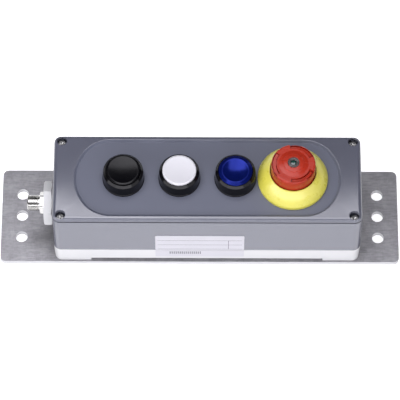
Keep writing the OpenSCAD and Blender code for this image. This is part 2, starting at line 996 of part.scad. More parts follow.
// Yellow collar: an upright rim, then a rounded cone up to the head
module stop_collar() {
    foot_r = collar_d / 2;
    top_r = collar_bore_r + collar_wall_top;
    rise = collar_h - collar_rim_h;
    run = foot_r - top_r;
    bulge = collar_bulge_share * run;
    color("gold")
        difference() {
            rotate_extrude($fn = fine_fn)
                polygon(concat(
                    [[0, 0], [foot_r, 0]],
                    [
                        for (i = [0:collar_steps])
                            let (t = i / collar_steps, b = bulge * sin(180 * t))
                            [
                                foot_r - run * t + b * rise / (run + rise),
                                collar_rim_h + rise * t + b * run / (run + rise)
                            ]
                    ],
                    [[0, collar_h]]
                ));
            translate([0, 0, collar_floor_t])
                cylinder(r = collar_bore_r, h = collar_h);
            translate([0, 0, -overrun])
                cylinder(d = neck_d + 2 * fit_gap, h = collar_h);
            translate([0, 0, -overrun])
                tube(
                    collar_d / 2 - collar_floor_t,
                    collar_d / 2 - 2 * collar_floor_t,
                    panel_seal_t + overrun
                );
        }
}

module stop_gasket() {
    color("dimgray")
        tube(
            collar_d / 2 - collar_floor_t - fit_gap,
            collar_d / 2 - 2 * collar_floor_t + fit_gap,
            panel_seal_t
        );
}

// Flange inside the collar and the threaded neck
module stop_body() {
    color("dimgray")
        difference() {
            union() {
                translate([0, 0, collar_floor_t])
                    cylinder(d = body_flange_d, h = body_flange_top - collar_floor_t);
                translate([0, 0, -neck_l])
                    cylinder(d = neck_d, h = neck_l + collar_floor_t + overrun);
            }
            translate([0, 0, guide_web_top])
                cylinder(d = guide_d, h = body_flange_top - guide_web_top + overrun);
            translate([0, 0, -neck_l - overrun])
                cylinder(d = stop_stem_d + 2 * slide_gap, h = neck_l);
            translate([0, 0, -neck_l - overrun])
                cylinder(d = guide_d, h = neck_l + overrun + guide_web_top - guide_web_t);
        }
}

// Stem that slides in the body; the head turns on its upper end
module stop_stem() {
    tip = lip_top - head_roof_t - seat_gap;
    color("gray") {
        translate([0, 0, bar_top - bar_t])
            cylinder(d = stop_stem_d, h = tip - bar_top + bar_t);
        translate([0, 0, stop_shoulder_top - stop_shoulder_t])
            cylinder(d = stop_shoulder_d, h = stop_shoulder_t);
        translate([-bar_w / 2, -bar_d / 2, bar_top - bar_t])
            cube([bar_w, bar_d, bar_t]);
    }
}

// Room of one arrow groove: its floor falls from the tail to the deep end
module arrow_groove(start) {
    r_out = groove_out_r - groove_tail;
    r_in = r_out - groove_w;
    top = head_top + overrun;
    points = [
        for (i = [0:groove_steps])
            let (
                share = i / groove_steps,
                a = start + groove_angle * share,
                low = lip_top - groove_tail_depth - (groove_depth - groove_tail_depth) * share
            )
            each [
                [r_in * cos(a), r_in * sin(a), low],
                [r_out * cos(a), r_out * sin(a), low],
                [r_out * cos(a), r_out * sin(a), top],
                [r_in * cos(a), r_in * sin(a), top]
            ]
    ];
    last = 4 * groove_steps;
    walls = [
        for (i = [0:groove_steps - 1], k = [0:3])
            let (a = 4 * i + k, b = 4 * i + (k + 1) % 4)
            each [[a, b, a + 4], [b, b + 4, a + 4]]
    ];
    ends = [[0, 2, 1], [0, 3, 2], [last, last + 1, last + 2], [last, last + 2, last + 3]];
    polyhedron(points = points, faces = concat(walls, ends), convexity = 4);
}

// Red head: lip, arrow grooves, raised middle with the lens's seat, skirt and hub
module stop_head() {
    r = head_d / 2;
    roof = lip_top - head_roof_t;
    color("#c8322d")
        difference() {
            union() {
                difference() {
                    rotate_extrude($fn = fine_fn)
                        polygon([
                            [0, skirt_bottom],
                            [r, skirt_bottom],
                            [r, collar_h + head_gap],
                            [r - head_lean, lip_top - lip_round],
                            [
                                r - head_lean - lip_round * round_share,
                                lip_top - lip_round * round_share
                            ],
                            [r - head_lean - lip_round, lip_top],
                            [groove_out_r + head_gap / 2, lip_top],
                            [groove_out_r, lip_top - groove_tail],
                            [groove_out_r - groove_w - 2 * groove_tail, lip_top],
                            [ridge_r + ridge_h / 2, head_top - 2 * ridge_h],
                            [ridge_r, head_top - ridge_h],
                            [lens_ring_d / 2 + ridge_h, head_top],
                            [0, head_top]
                        ]);
                    translate([0, 0, skirt_bottom - overrun])
                        cylinder(r = r - head_wall, h = roof - skirt_bottom + overrun);
                }
                translate([0, 0, hub_bottom])
                    cylinder(d = hub_d, h = roof - hub_bottom + overrun);
            }
            translate([0, 0, hub_bottom - overrun])
                cylinder(d = stop_stem_d + 2 * slide_gap, h = roof - hub_bottom + overrun);
            translate([0, 0, head_top - lens_seat])
                cylinder(d = lens_ring_d + 2 * fit_gap, h = lens_seat + overrun);
            for (a = groove_start_angles)
                arrow_groove(a);
        }
}

// Ring with an arched top that falls to the lens
module stop_lens_ring() {
    r_out = lens_ring_d / 2;
    r_in = lens_d / 2 + fit_gap;
    color("silver")
        translate([0, 0, head_top - lens_seat])
            rotate_extrude()
                polygon(concat(
                    [[r_in, 0], [r_out, 0]],
                    [
                        for (i = [0:ring_steps])
                            let (t = i / ring_steps)
                            [r_out - (r_out - r_in) * t, lens_seat + ring_rise * sin(180 * t)]
                    ]
                ));
}

module stop_lens() {
    color("darkslategray")
        translate([0, 0, head_top - lens_seat])
            cylinder(d = lens_d, h = lens_seat - lens_drop);
}

module stop_spring() {
    room = stop_shoulder_top - stop_shoulder_t - guide_web_top;
    color("silver")
        translate([0, 0, guide_web_top])
            coil(stop_spring_d, spring_wire_d, stop_spring_turns, room);
}

module ring_nuts() {
    color("dimgray")
        for (x = [black_x, white_x, blue_x, stop_x])
            at_station(x)
                ring_nut();
}

module contact_holders() {
    color("darkgray")
        for (x = [black_x, white_x, blue_x, stop_x])
            at_station(x)
                contact_holder();
}

module terminal_screws() {
    color("silver") {
        at_station(black_x)
            block_screws(0);
        at_station(white_x)
            block_screws(0);
        at_station(blue_x)
            for (x = [-block_pitch, 0])
                block_screws(x);
        at_station(stop_x)
            for (x = [-1, 1])
                block_screws(x * block_pitch);
    }
}

module stop_contact_blocks() {
    for (x = [-1, 1])
        contact_block(x * block_pitch);
}

module stop_contact_plungers() {
    for (x = [-1, 1])
        contact_plunger(x * block_pitch);
}

module black_cap() {
    color("#202022")
        cap(cap_dish_d, cap_dish_depth);
}

module white_cap() {
    color("white")
        cap(cap_dish_d, cap_dish_depth);
}

module blue_lens() {
    color("#1a2fa8")
        cap(dish_d, dish_depth);
}

mounting_plate();
plate_screws();
base();
lid_gasket();
lid();
lid_screws();
upper_label();
lower_label();
connector_adapter();
adapter_seal();
adapter_locknut();
connector_shell();
connector_insert();
connector_pins();
at_station(black_x) bezel();  // black_bezel
at_station(black_x) panel_gasket();  // black_gasket
at_station(black_x) black_cap();
at_station(black_x) plunger(0, cap_dish_depth);  // black_plunger
at_station(black_x) button_spring(cap_dish_depth);  // black_spring
at_station(black_x) contact_block(0);  // black_contact_block
at_station(black_x) contact_plunger(0);  // black_contact_plunger
at_station(white_x) bezel();  // white_bezel
at_station(white_x) panel_gasket();  // white_gasket
at_station(white_x) white_cap();
at_station(white_x) plunger(0, cap_dish_depth);  // white_plunger
at_station(white_x) button_spring(cap_dish_depth);  // white_spring
at_station(white_x) contact_block(0);  // white_contact_block
at_station(white_x) contact_plunger(0);  // white_contact_plunger
at_station(blue_x) bezel();  // blue_bezel
at_station(blue_x) panel_gasket();  // blue_gasket
at_station(blue_x) blue_lens();
at_station(blue_x) plunger(light_tube_d, dish_depth);  // blue_plunger
at_station(blue_x) button_spring(dish_depth);  // blue_spring
at_station(blue_x) contact_block(-block_pitch);  // blue_contact_block
at_station(blue_x) contact_plunger(-block_pitch);  // blue_contact_plunger
at_station(blue_x) lamp_block();  // blue_lamp_block
at_station(stop_x) stop_collar();
at_station(stop_x) stop_body();
at_station(stop_x) stop_gasket();
at_station(stop_x) stop_head();
at_station(stop_x) stop_lens();
at_station(stop_x) stop_lens_ring();
at_station(stop_x) stop_stem();
at_station(stop_x) stop_spring();
at_station(stop_x) stop_contact_blocks();
at_station(stop_x) stop_contact_plungers();
ring_nuts();
contact_holders();
terminal_screws();
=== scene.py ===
"""Looks of a pushbutton control station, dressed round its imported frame.

Meshes are laid out in millimetres in the frame's own axes and turned into metres as they are made.
"""

import logging
import math
from dataclasses import dataclass, field
from enum import Enum
from typing import Callable, Optional, Sequence

import bmesh
import bpy
from mathutils import Matrix, Vector
from mathutils.geometry import delaunay_2d_cdt

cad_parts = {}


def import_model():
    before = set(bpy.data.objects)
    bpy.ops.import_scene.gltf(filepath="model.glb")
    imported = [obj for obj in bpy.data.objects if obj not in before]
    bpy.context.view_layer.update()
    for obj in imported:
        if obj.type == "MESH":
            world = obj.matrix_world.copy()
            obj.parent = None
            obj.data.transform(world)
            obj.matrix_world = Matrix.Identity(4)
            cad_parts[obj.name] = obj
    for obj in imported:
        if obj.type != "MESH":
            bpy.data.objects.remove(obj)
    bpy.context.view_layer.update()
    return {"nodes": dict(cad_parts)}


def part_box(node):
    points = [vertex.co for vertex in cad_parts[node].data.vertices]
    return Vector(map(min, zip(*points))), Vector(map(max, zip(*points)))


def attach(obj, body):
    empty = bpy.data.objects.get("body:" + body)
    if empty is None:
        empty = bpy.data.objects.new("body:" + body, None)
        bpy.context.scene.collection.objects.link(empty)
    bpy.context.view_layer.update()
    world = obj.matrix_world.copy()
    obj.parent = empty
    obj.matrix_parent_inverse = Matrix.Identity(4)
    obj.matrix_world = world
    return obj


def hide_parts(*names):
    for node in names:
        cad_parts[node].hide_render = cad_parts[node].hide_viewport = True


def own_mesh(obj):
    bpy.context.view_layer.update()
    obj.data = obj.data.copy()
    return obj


LOG = logging.getLogger("control_station")

MM = 0.001
TINY = 1e-6
FULL_TURN = 2 * math.pi

# Before a frame node's edges are rounded, its corners within WELD millimetres become one point, and
# its faces that meet within FLAT_ANGLE degrees become one face.
WELD = 0.002
FLAT_ANGLE = 0.5
# Blender's value for a bevel that follows a quarter of a circle.
ROUND_PROFILE = 0.5
# The values between which nearly all of a noise lies, for a quick and for a slow change of tone.
NOISE_CORE = (0.3, 0.7)
CLOUD_CORE = (0.25, 0.75)
# Numbers of a colour Mix node's sockets: its share, its two colours and its result.
MIX_SHARE, MIX_ONE, MIX_OTHER, MIX_RESULT = 0, 6, 7, 2
# Steps round a small bore or bar, and round a larger nut or ring.
BORE_STEPS = 72
ROUND_STEPS = 96
# How far above the recess's floor its colour reaches, and how far beyond its edge, in millimetres.
RECESS_STEP = 0.3
RECESS_MARGIN = 0.2

# A Corner is a place, a size, or an outline's point with the radius of its fillet. A Mark is the
# lowest and highest X and the lowest and highest Z of a printed mark.
Point = tuple[float, float]
Corner = tuple[float, float, float]
Colour = tuple[float, float, float]
Mark = tuple[float, float, float, float]
Relief = Callable[[float, float, float], float]


def mm_box(node: str) -> tuple[Vector, Vector]:
    """Gives the box of a frame node in millimetres.

    Args:
        node: The node's name.

    Returns:
        Its lowest and its highest corner.
    """
    low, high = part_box(node)
    return low / MM, high / MM


def mm_centre(node: str) -> Vector:
    """Gives the middle of a frame node's box in millimetres.

    Args:
        node: The node's name.

    Returns:
        The middle of its box.
    """
    low, high = mm_box(node)
    return (low + high) / 2


def upright(x: float, y: float, z: float) -> Matrix:
    """Gives a place whose axis stands upright.

    Args:
        x: Place along the plate, in millimetres.
        y: Place across the plate.
        z: Height.

    Returns:
        The matrix from the piece's own axes to the frame.
    """
    return Matrix.Translation((x, y, z))


def outward_left(x: float, y: float, z: float, turn: float = 0.0) -> Matrix:
    """Gives a place whose axis points out of the enclosure's left end.

    Args:
        x: Place along the plate, in millimetres.
        y: Place across the plate.
        z: Height.
        turn: Turn about that axis, in degrees.

    Returns:
        The matrix from the piece's own axes to the frame.
    """
    return (
        Matrix.Translation((x, y, z))
        @ Matrix.Rotation(-math.pi / 2, 4, "Y")
        @ Matrix.Rotation(math.radians(turn), 4, "Z")
    )


def rounded(corners: Sequence[Corner], arc_steps: int = 4, closed: bool = True) -> list[Point]:
    """Turns an outline with fillet radii into plain points.

    Args:
        corners: Points of the outline, each with the radius of its fillet.
        arc_steps: Steps of each fillet.
        closed: Whether the last point joins the first.

    Returns:
        The outline's points, with each fillet as an arc.
    """
    points: list[Point] = []
    count = len(corners)
    for i, (x, y, radius) in enumerate(corners):
        here = Vector((x, y))
        at_end = not closed and i in (0, count - 1)
        if radius <= 0 or at_end:
            points.append((x, y))
            continue
        back = Vector(corners[i - 1][:2]) - here
        ahead = Vector(corners[(i + 1) % count][:2]) - here
        half = back.angle(ahead) / 2
        if half < TINY or half > math.pi / 2 - TINY:
            points.append((x, y))
            continue
        reach = min(radius / math.tan(half), back.length / 2, ahead.length / 2)
        fillet = reach * math.tan(half)
        back.normalize()
        ahead.normalize()
        middle = here + (back + ahead).normalized() * fillet / math.sin(half)
        start = here + back * reach - middle
        end = here + ahead * reach - middle
        sweep = start.angle_signed(end)
        for k in range(arc_steps + 1):
            angle = -sweep * k / arc_steps
            turned = Matrix.Rotation(angle, 2) @ start
            points.append(tuple(middle + turned))
    return points


def divided(points: Sequence[Point], longest: float) -> list[Point]:
    """Adds points to an open outline where its sides are long.

    Args:
        points: The outline's points.
        longest: Longest side that is left, in millimetres.

    Returns:
        The outline with its long sides divided.
    """
    result: list[Point] = [points[0]]
    for (x0, y0), (x1, y1) in zip(points, points[1:]):
        parts = max(1, math.ceil(math.hypot(x1 - x0, y1 - y0) / longest))
        for k in range(1, parts + 1):
            share = k / parts
            result.append((x0 + (x1 - x0) * share, y0 + (y1 - y0) * share))
    return result


def with_radii(points: Sequence[Point], radii: Sequence[float], foot: float) -> list[Point]:
    """Adds points to an outline where it crosses given radii.

    Args:
        points: Radius and height of each point.
        radii: The radii at which points are wanted.
        foot: Height below which nothing is added.

    Returns:
        The outline with the added points.
    """
    result: list[Point] = [points[0]]
    for (r0, z0), (r1, z1) in zip(points, points[1:]):
        crossed = [r for r in radii if min(r0, r1) < r < max(r0, r1) and min(z0, z1) > foot]
        for radius in sorted(crossed, reverse=r0 > r1):
            share = (radius - r0) / (r1 - r0)
            result.append((radius, z0 + (z1 - z0) * share))
        result.append((r1, z1))
    return result


def smooth_step(value: float) -> float:
    """Gives a smooth rise from 0 to 1 as value goes from 0 to 1."""
    held = min(1.0, max(0.0, value))
    return held * held * (3 - 2 * held)


class MeshMaker:
    """Gathers vertices and faces in millimetres and makes them one object."""

    def __init__(self, name: str) -> None:
        """Starts an empty mesh.

        Args:
            name: Name of the object to be made.
        """
        self.name = name
        self.vertices: list[Vector] = []
        self.faces: list[tuple[int, ...]] = []

    def ring(self, points: Sequence[Vector]) -> list[int]:
        """Adds points and gives their numbers.

        Args:
            points: Places in the frame, in millimetres.

        Returns:
            The numbers of the new vertices.
        """
        first = len(self.vertices)
        self.vertices.extend(points)
        return list(range(first, first + len(points)))

    def circle(self, radius: float, height: float, place: Matrix, steps: int) -> list[int]:
        """Adds a circle of points about a place's axis.

        Args:
            radius: Its radius, in millimetres.
            height: Its height along the axis.
            place: Where the axis lies in the frame.
            steps: How many points it has.

        Returns:
            The numbers of the new vertices.
        """
        angles = [FULL_TURN * k / steps for k in range(steps)]
        return self.ring(
            [place @ Vector((radius * math.cos(a), radius * math.sin(a), height)) for a in angles]
        )

    def bridge(self, one: Sequence[int], other: Sequence[int], closed: bool = True) -> None:
        """Joins two rings of vertices with faces. A ring of one vertex makes a fan.

        Args:
            one: Numbers of the first ring.
            other: Numbers of the second ring.
            closed: Whether the rings close on themselves.
        """
        count = max(len(one), len(other))
        for k in range(count if closed else count - 1):
            n = (k + 1) % count
            if len(one) == 1:
                self.faces.append((one[0], other[n], other[k]))
            elif len(other) == 1:
                self.faces.append((one[k], one[n], other[0]))
            else:
                self.faces.append((one[k], one[n], other[n], other[k]))

    def turned(
        self,
        outline: Sequence[Point],
        place: Matrix,
        steps: int = ROUND_STEPS,
        relief: Optional[Relief] = None,
        closed: bool = False,
    ) -> None:
        """Adds a body turned from an outline of radius and height.

        Args:
            outline: Radius and height of each point, in millimetres.
            place: Where the body's own axes lie in the frame.
            steps: Steps of the turn.
            relief: Gives a point's height from its radius, height and angle.
            closed: Whether the last point joins the first.
        """
        rings: list[list[int]] = []
        for radius, height in outline:
            if radius < TINY:
                level = relief(0.0, height, 0.0) if relief else height
                rings.append(self.ring([place @ Vector((0, 0, level))]))
                continue
            points = []
            for k in range(steps):
                angle = FULL_TURN * k / steps
                level = relief(radius, height, angle) if relief else height
                spot = Vector((radius * math.cos(angle), radius * math.sin(angle), level))
                points.append(place @ spot)
            rings.append(self.ring(points))
        for one, other in zip(rings, rings[1:]):
            self.bridge(one, other)
        if closed:
            self.bridge(rings[-1], rings[0])

    def lofted(self, loops: Sequence[Sequence[Vector]], place: Matrix) -> None:
        """Adds a solid drawn through loops of points, with a face at each end.

        Args:
            loops: Loops of as many points each, from one end to the other.
            place: Where the solid's own axes lie in the frame.
        """
        rings = [self.ring([place @ point for point in loop]) for loop in loops]
        for one, other in zip(rings, rings[1:]):
            self.bridge(one, other)
        self.faces.append(tuple(reversed(rings[0])))
        self.faces.append(tuple(rings[-1]))

    def fill_between(self, outer: Sequence[int], inner: Sequence[int]) -> None:
        """Fills the level face between two loops with triangles.

        Args:
            outer: Numbers of the outer loop.
            inner: Numbers of the inner loop, which bulges outwards all round.
        """
        numbers = list(outer) + list(inner)
        places = [self.vertices[n].xy for n in numbers]
        edges = []
        first = 0
        for loop in (outer, inner):
            count = len(loop)
            edges += [(first + k, first + (k + 1) % count) for k in range(count)]
            first += count
        _, _, faces, sources, _, _ = delaunay_2d_cdt(places, edges, [], 1, TINY)
        for face in faces:
            if min(sources[n][0] for n in face) < len(outer):
                self.faces.append(tuple(numbers[sources[n][0]] for n in face))

    def finish(self, crease: float = 42.0, weighted: bool = True) -> bpy.types.Object:
        """Makes the object.

        Args:
            crease: Angle in degrees above which an edge stays sharp.
            weighted: Whether large faces keep their own shading.

        Returns:
            The new object, linked to the scene.
        """
        mesh = bpy.data.meshes.new(self.name)
        mesh.from_pydata([tuple(v * MM) for v in self.vertices], [], self.faces)
        shape = bmesh.new()
        shape.from_mesh(mesh)
        bmesh.ops.remove_doubles(shape, verts=shape.verts, dist=TINY * MM)
        bmesh.ops.recalc_face_normals(shape, faces=shape.faces)
        shape.to_mesh(mesh)
        shape.free()
        return shaded(mesh, self.name, crease, weighted)


def shaded(mesh: bpy.types.Mesh, name: str, crease: float, weighted: bool) -> bpy.types.Object:
    """Links a mesh as an object with smooth faces between its sharp edges.

    Args:
        mesh: The mesh, in metres.
        name: The object's name.
        crease: Angle in degrees above which an edge stays sharp.
        weighted: Whether large faces keep their own shading.

    Returns:
        The new object.
    """
    mesh.shade_smooth()
    mesh.set_sharp_from_angle(angle=math.radians(crease))
    piece = bpy.data.objects.new(name, mesh)
    bpy.context.scene.collection.objects.link(piece)
    if weighted:
        modifier = piece.modifiers.new("even_shading", "WEIGHTED_NORMAL")
        modifier.keep_sharp = True
    return piece


def softened(
    source: bpy.types.Object, name: str, width: float, steps: int = 2, angle: float = 28.0
) -> bpy.types.Object:
    """Copies a frame node and rounds its sharp edges.

    Args:
        source: The frame node's object.
        name: Name of the copy.
        width: Width of the rounding, in millimetres.
        steps: Steps across the rounding.
        angle: Angle in degrees above which an edge is rounded.

    Returns:
        The softened copy.
    """
    mesh = source.data.copy()
    mesh.name = name
    mesh.materials.clear()
    if "custom_normal" in mesh.attributes:
        mesh.attributes.remove(mesh.attributes["custom_normal"])
    shape = bmesh.new()
    shape.from_mesh(mesh)
    bmesh.ops.remove_doubles(shape, verts=shape.verts, dist=WELD * MM)
    bmesh.ops.dissolve_limit(
        shape, angle_limit=math.radians(FLAT_ANGLE), verts=shape.verts, edges=shape.edges
    )
    sharp = [
        edge
        for edge in shape.edges
        if edge.is_manifold and edge.calc_face_angle(0.0) > math.radians(angle)
    ]
    bmesh.ops.bevel(
        shape,
        geom=sharp,
        offset=width * MM,
        segments=steps,
        profile=ROUND_PROFILE,
        affect="EDGES",
        clamp_overlap=True,
    )
    shape.to_mesh(mesh)
    shape.free()
    return shaded(mesh, name, crease=50.0, weighted=True)


def carve(piece: bpy.types.Object, cutter: bpy.types.Object) -> None:
    """Cuts one solid out of another and clears the cutter away.

    Args:
        piece: The solid that is cut.
        cutter: The solid whose room it loses.
    """
    modifier = piece.modifiers.new("carve", "BOOLEAN")
    modifier.operation = "DIFFERENCE"
    modifier.solver = "EXACT"
    modifier.object = cutter
    graph = bpy.context.evaluated_depsgraph_get()
    mesh = bpy.data.meshes.new_from_object(piece.evaluated_get(graph))
    piece.modifiers.clear()
    piece.data = mesh
    bpy.data.objects.remove(cutter)


def round_box(length: float, width: float, radius: float, steps: int) -> list[Point]:
    """Gives a rectangle with round corners, about its middle.

    Args:
        length: Its length along X.
        width: Its width along Y.
        radius: Radius of its corners.
        steps: Steps of each corner.

    Returns:
        Its points, the same number for every size.
    """
    points: list[Point] = []
    for quarter, (side, end) in enumerate(((1, 1), (-1, 1), (-1, -1), (1, -1))):
        x = side * (length / 2 - radius)
        y = end * (width / 2 - radius)
        for k in range(steps + 1):
            angle = math.pi / 2 * (quarter + k / steps)
            points.append((x + radius * math.cos(angle), y + radius * math.sin(angle)))
    return points


class Slot(Enum):
    """Names of the record's material slots."""

    STEEL = "galvanised_steel"
    ZINC = "zinc_steel"
    PALE = "pale_plastic"
    LID = "lid_plastic"
    SEAL = "seal_rubber"
    FILM = "label_film"
    NICKEL = "nickel_brass"
    BLACK = "black_plastic"
    GOLD = "gold_pin"
    INNER = "inner_plastic"
    SPRING = "spring_steel"
    BLOCK = "block_plastic"
    WHITE = "white_plastic"
    BLUE = "blue_plastic"
    YELLOW = "yellow_plastic"
    RED = "red_plastic"
    GREEN = "green_lens"
    GREY = "grey_plastic"


@dataclass(frozen=True)
class Grain:
    """A noise: size of its lumps in millimetres, count of finer layers and their strength."""

    size: float
    detail: float
    rough: float


class Recipe:
    """Lays out the nodes of one material."""

    def __init__(self, name: str) -> None:
        """Starts a material with one surface shader.

        Args:
            name: The material's name.
        """
        self.material = bpy.data.materials.new(name)
        self.material.use_nodes = True
        self.tree = self.material.node_tree
        self.tree.nodes.clear()
        self.output = self.node("ShaderNodeOutputMaterial")
        self.surface = self.node("ShaderNodeBsdfPrincipled")
        self.join(self.surface.outputs["BSDF"], self.output.inputs["Surface"])
        self.place = self.node("ShaderNodeTexCoord").outputs["Object"]

    def node(self, kind: str, **settings: object) -> bpy.types.Node:
        """Adds a node.

        Args:
            kind: Blender's name of the node's type.
            **settings: Properties of the node.

        Returns:
            The new node.
        """
        made = self.tree.nodes.new(kind)
        for key, value in settings.items():
            setattr(made, key, value)
        return made

    def join(self, source: bpy.types.NodeSocket, target: bpy.types.NodeSocket) -> None:
        """Links two sockets."""
        self.tree.links.new(source, target)

    def fixed(self, **values: object) -> None:
        """Sets sockets of the surface shader. An underscore stands for a space."""
        for key, value in values.items():
            self.surface.inputs[key.replace("_", " ")].default_value = value

    def feed(self, socket: str, source: bpy.types.NodeSocket) -> None:
        """Links a socket of the surface shader by its name."""
        self.join(source, self.surface.inputs[socket])

    def stretched(self, scale: Sequence[float]) -> bpy.types.NodeSocket:
        """Gives the place stretched along each axis.

        Args:
            scale: Factor along X, Y and Z.

        Returns:
            The stretched place.
        """
        mapping = self.node("ShaderNodeMapping")
        mapping.inputs["Scale"].default_value = tuple(scale)
        self.join(self.place, mapping.inputs["Vector"])
        return mapping.outputs["Vector"]

    def noise(
        self, grain: Grain, place: Optional[bpy.types.NodeSocket] = None
    ) -> bpy.types.NodeSocket:
        """Adds a noise pattern.

        Args:
            grain: Its size and layers.
            place: Where it is read, or None for the plain place.

        Returns:
            The pattern from 0 to 1.
        """
        made = self.node("ShaderNodeTexNoise")
        made.inputs["Scale"].default_value = 1 / (grain.size * MM)
        made.inputs["Detail"].default_value = grain.detail
        made.inputs["Roughness"].default_value = grain.rough
        self.join(place or self.place, made.inputs["Vector"])
        return made.outputs["Fac"]

    def cells(self, size: float) -> bpy.types.NodeSocket:
        """Adds a pattern of irregular cells.

        Args:
            size: Size of a cell, in millimetres.

        Returns:
            A value from 0 to 1 that is the same all over a cell.
        """
        made = self.node("ShaderNodeTexVoronoi")
        made.inputs["Scale"].default_value = 1 / (size * MM)
        self.join(self.place, made.inputs["Vector"])
        parts = self.node("ShaderNodeSeparateColor")
        self.join(made.outputs["Color"], parts.inputs[0])
        return parts.outputs[0]

    def remap(
        self, source: bpy.types.NodeSocket, low: float, high: float, start: float = 0.0, end: float = 1.0
    ) -> bpy.types.NodeSocket:
        """Maps a value from one range to another.

        Args:
            source: The value.
            low: Result at the range's start.
            high: Result at its end.
            start: Start of the value's range.
            end: End of the value's range.

        Returns:
            The mapped value.
        """
        made = self.node("ShaderNodeMapRange")
        made.inputs["From Min"].default_value = start
        made.inputs["From Max"].default_value = end
        made.inputs["To Min"].default_value = low
        made.inputs["To Max"].default_value = high
        self.join(source, made.inputs["Value"])
        return made.outputs["Result"]

    def sum_up(
        self, operation: str, one: bpy.types.NodeSocket, other: bpy.types.NodeSocket | float
    ) -> bpy.types.NodeSocket:
        """Adds a sum of two values.

        Args:
            operation: Blender's name of the sum, such as MULTIPLY.
            one: The first value.
            other: The second value, a socket or a number.

        Returns:
            The result.
        """
        made = self.node("ShaderNodeMath", operation=operation)
        self.join(one, made.inputs[0])
        if isinstance(other, (int, float)):
            made.inputs[1].default_value = other
        else:
            self.join(other, made.inputs[1])
        return made.outputs[0]

    def inverse(self, mask: bpy.types.NodeSocket) -> bpy.types.NodeSocket:
        """Gives 1 where a mask is 0, and 0 where it is 1."""
        return self.remap(mask, 1.0, 0.0)

    def band(self, value: bpy.types.NodeSocket, low: float, high: float) -> bpy.types.NodeSocket:
        """Gives 1 where a place lies between two marks, else 0.

        Args:
            value: The place along one axis.
            low: The lower mark, in millimetres.
            high: The upper mark.

        Returns:
            The mask.
        """
        below = self.sum_up("LESS_THAN", value, high * MM)
        above = self.sum_up("GREATER_THAN", value, low * MM)
        return self.sum_up("MULTIPLY", above, below)

    def gloss(
        self, pattern: bpy.types.NodeSocket, middle: float, spread: Point, core: Point = NOISE_CORE
    ) -> None:
        """Lets a pattern lower and raise the surface's roughness.

        Args:
            pattern: The pattern.
            middle: The plain roughness.
            spread: How far it falls and how far it rises.
            core: Range of the pattern over which it does so.
        """
        self.feed("Roughness", self.remap(pattern, middle - spread[0], middle + spread[1], *core))

    def tones(
        self, source: bpy.types.NodeSocket, core: Point, one: Colour, other: Colour
    ) -> bpy.types.NodeSocket:
        """Turns a value into a colour between two tones.

        Args:
            source: The value.
            core: Range of the value over which the colour changes.
            one: Tone below that range.
            other: Tone above it.

        Returns:
            The colour.
        """
        made = self.node("ShaderNodeValToRGB")
        for element, place, colour in zip(made.color_ramp.elements, core, (one, other)):
            element.position = place
            element.color = (*colour, 1.0)
        self.join(source, made.inputs["Fac"])
        return made.outputs["Color"]

    def mixed(
        self,
        share: bpy.types.NodeSocket | float,
        one: bpy.types.NodeSocket | Colour,
        other: bpy.types.NodeSocket | Colour,
        kind: str = "MIX",
    ) -> bpy.types.NodeSocket:
        """Mixes two colours.

        Args:
            share: Share of the second colour, from 0 to 1, a socket or a value.
            one: The first colour, a socket or a value.
            other: The second colour, a socket or a value.
            kind: Blender's name of the way that they are mixed.

        Returns:
            The mixed colour.
        """
        made = self.node("ShaderNodeMix", data_type="RGBA", blend_type=kind)
        for source, number in ((share, MIX_SHARE), (one, MIX_ONE), (other, MIX_OTHER)):
            target = made.inputs[number]
            if isinstance(source, float):
                target.default_value = source
            elif isinstance(source, tuple):
                target.default_value = (*source, 1.0)
            else:
                self.join(source, target)
        return made.outputs[MIX_RESULT]

    def upright_walls(self, limit: float) -> bpy.types.NodeSocket:
        """Gives 1 on walls that stand upright and 0 on level faces.

        Args:
            limit: Upward share of the normal below which a face counts as a wall.

        Returns:
            The value as a socket.
        """
        facing = self.node("ShaderNodeSeparateXYZ")
        geometry = self.node("ShaderNodeNewGeometry")
        self.join(geometry.outputs["Normal"], facing.inputs[0])
        upward = self.node("ShaderNodeMath", operation="ABSOLUTE")
        self.join(facing.outputs["Z"], upward.inputs[0])
        return self.sum_up("LESS_THAN", upward.outputs[0], limit)

    def bump(self, heights: Sequence[tuple[bpy.types.NodeSocket, float]]) -> None:
        """Raises the surface by several patterns at once.

        Args:
            heights: Patterns with their depths, in millimetres.
        """
        normal: Optional[bpy.types.NodeSocket] = None
        for height, depth in heights:
            made = self.node("ShaderNodeBump")
            made.inputs["Distance"].default_value = depth * MM
            self.join(height, made.inputs["Height"])
            if normal:
                self.join(normal, made.inputs["Normal"])
            normal = made.outputs["Normal"]
        if normal:
            self.feed("Normal", normal)


def shade_of(colour: Colour, factor: float) -> Colour:
    """Gives a colour made lighter or darker by a factor."""
    return tuple(min(1.0, part * factor) for part in colour)


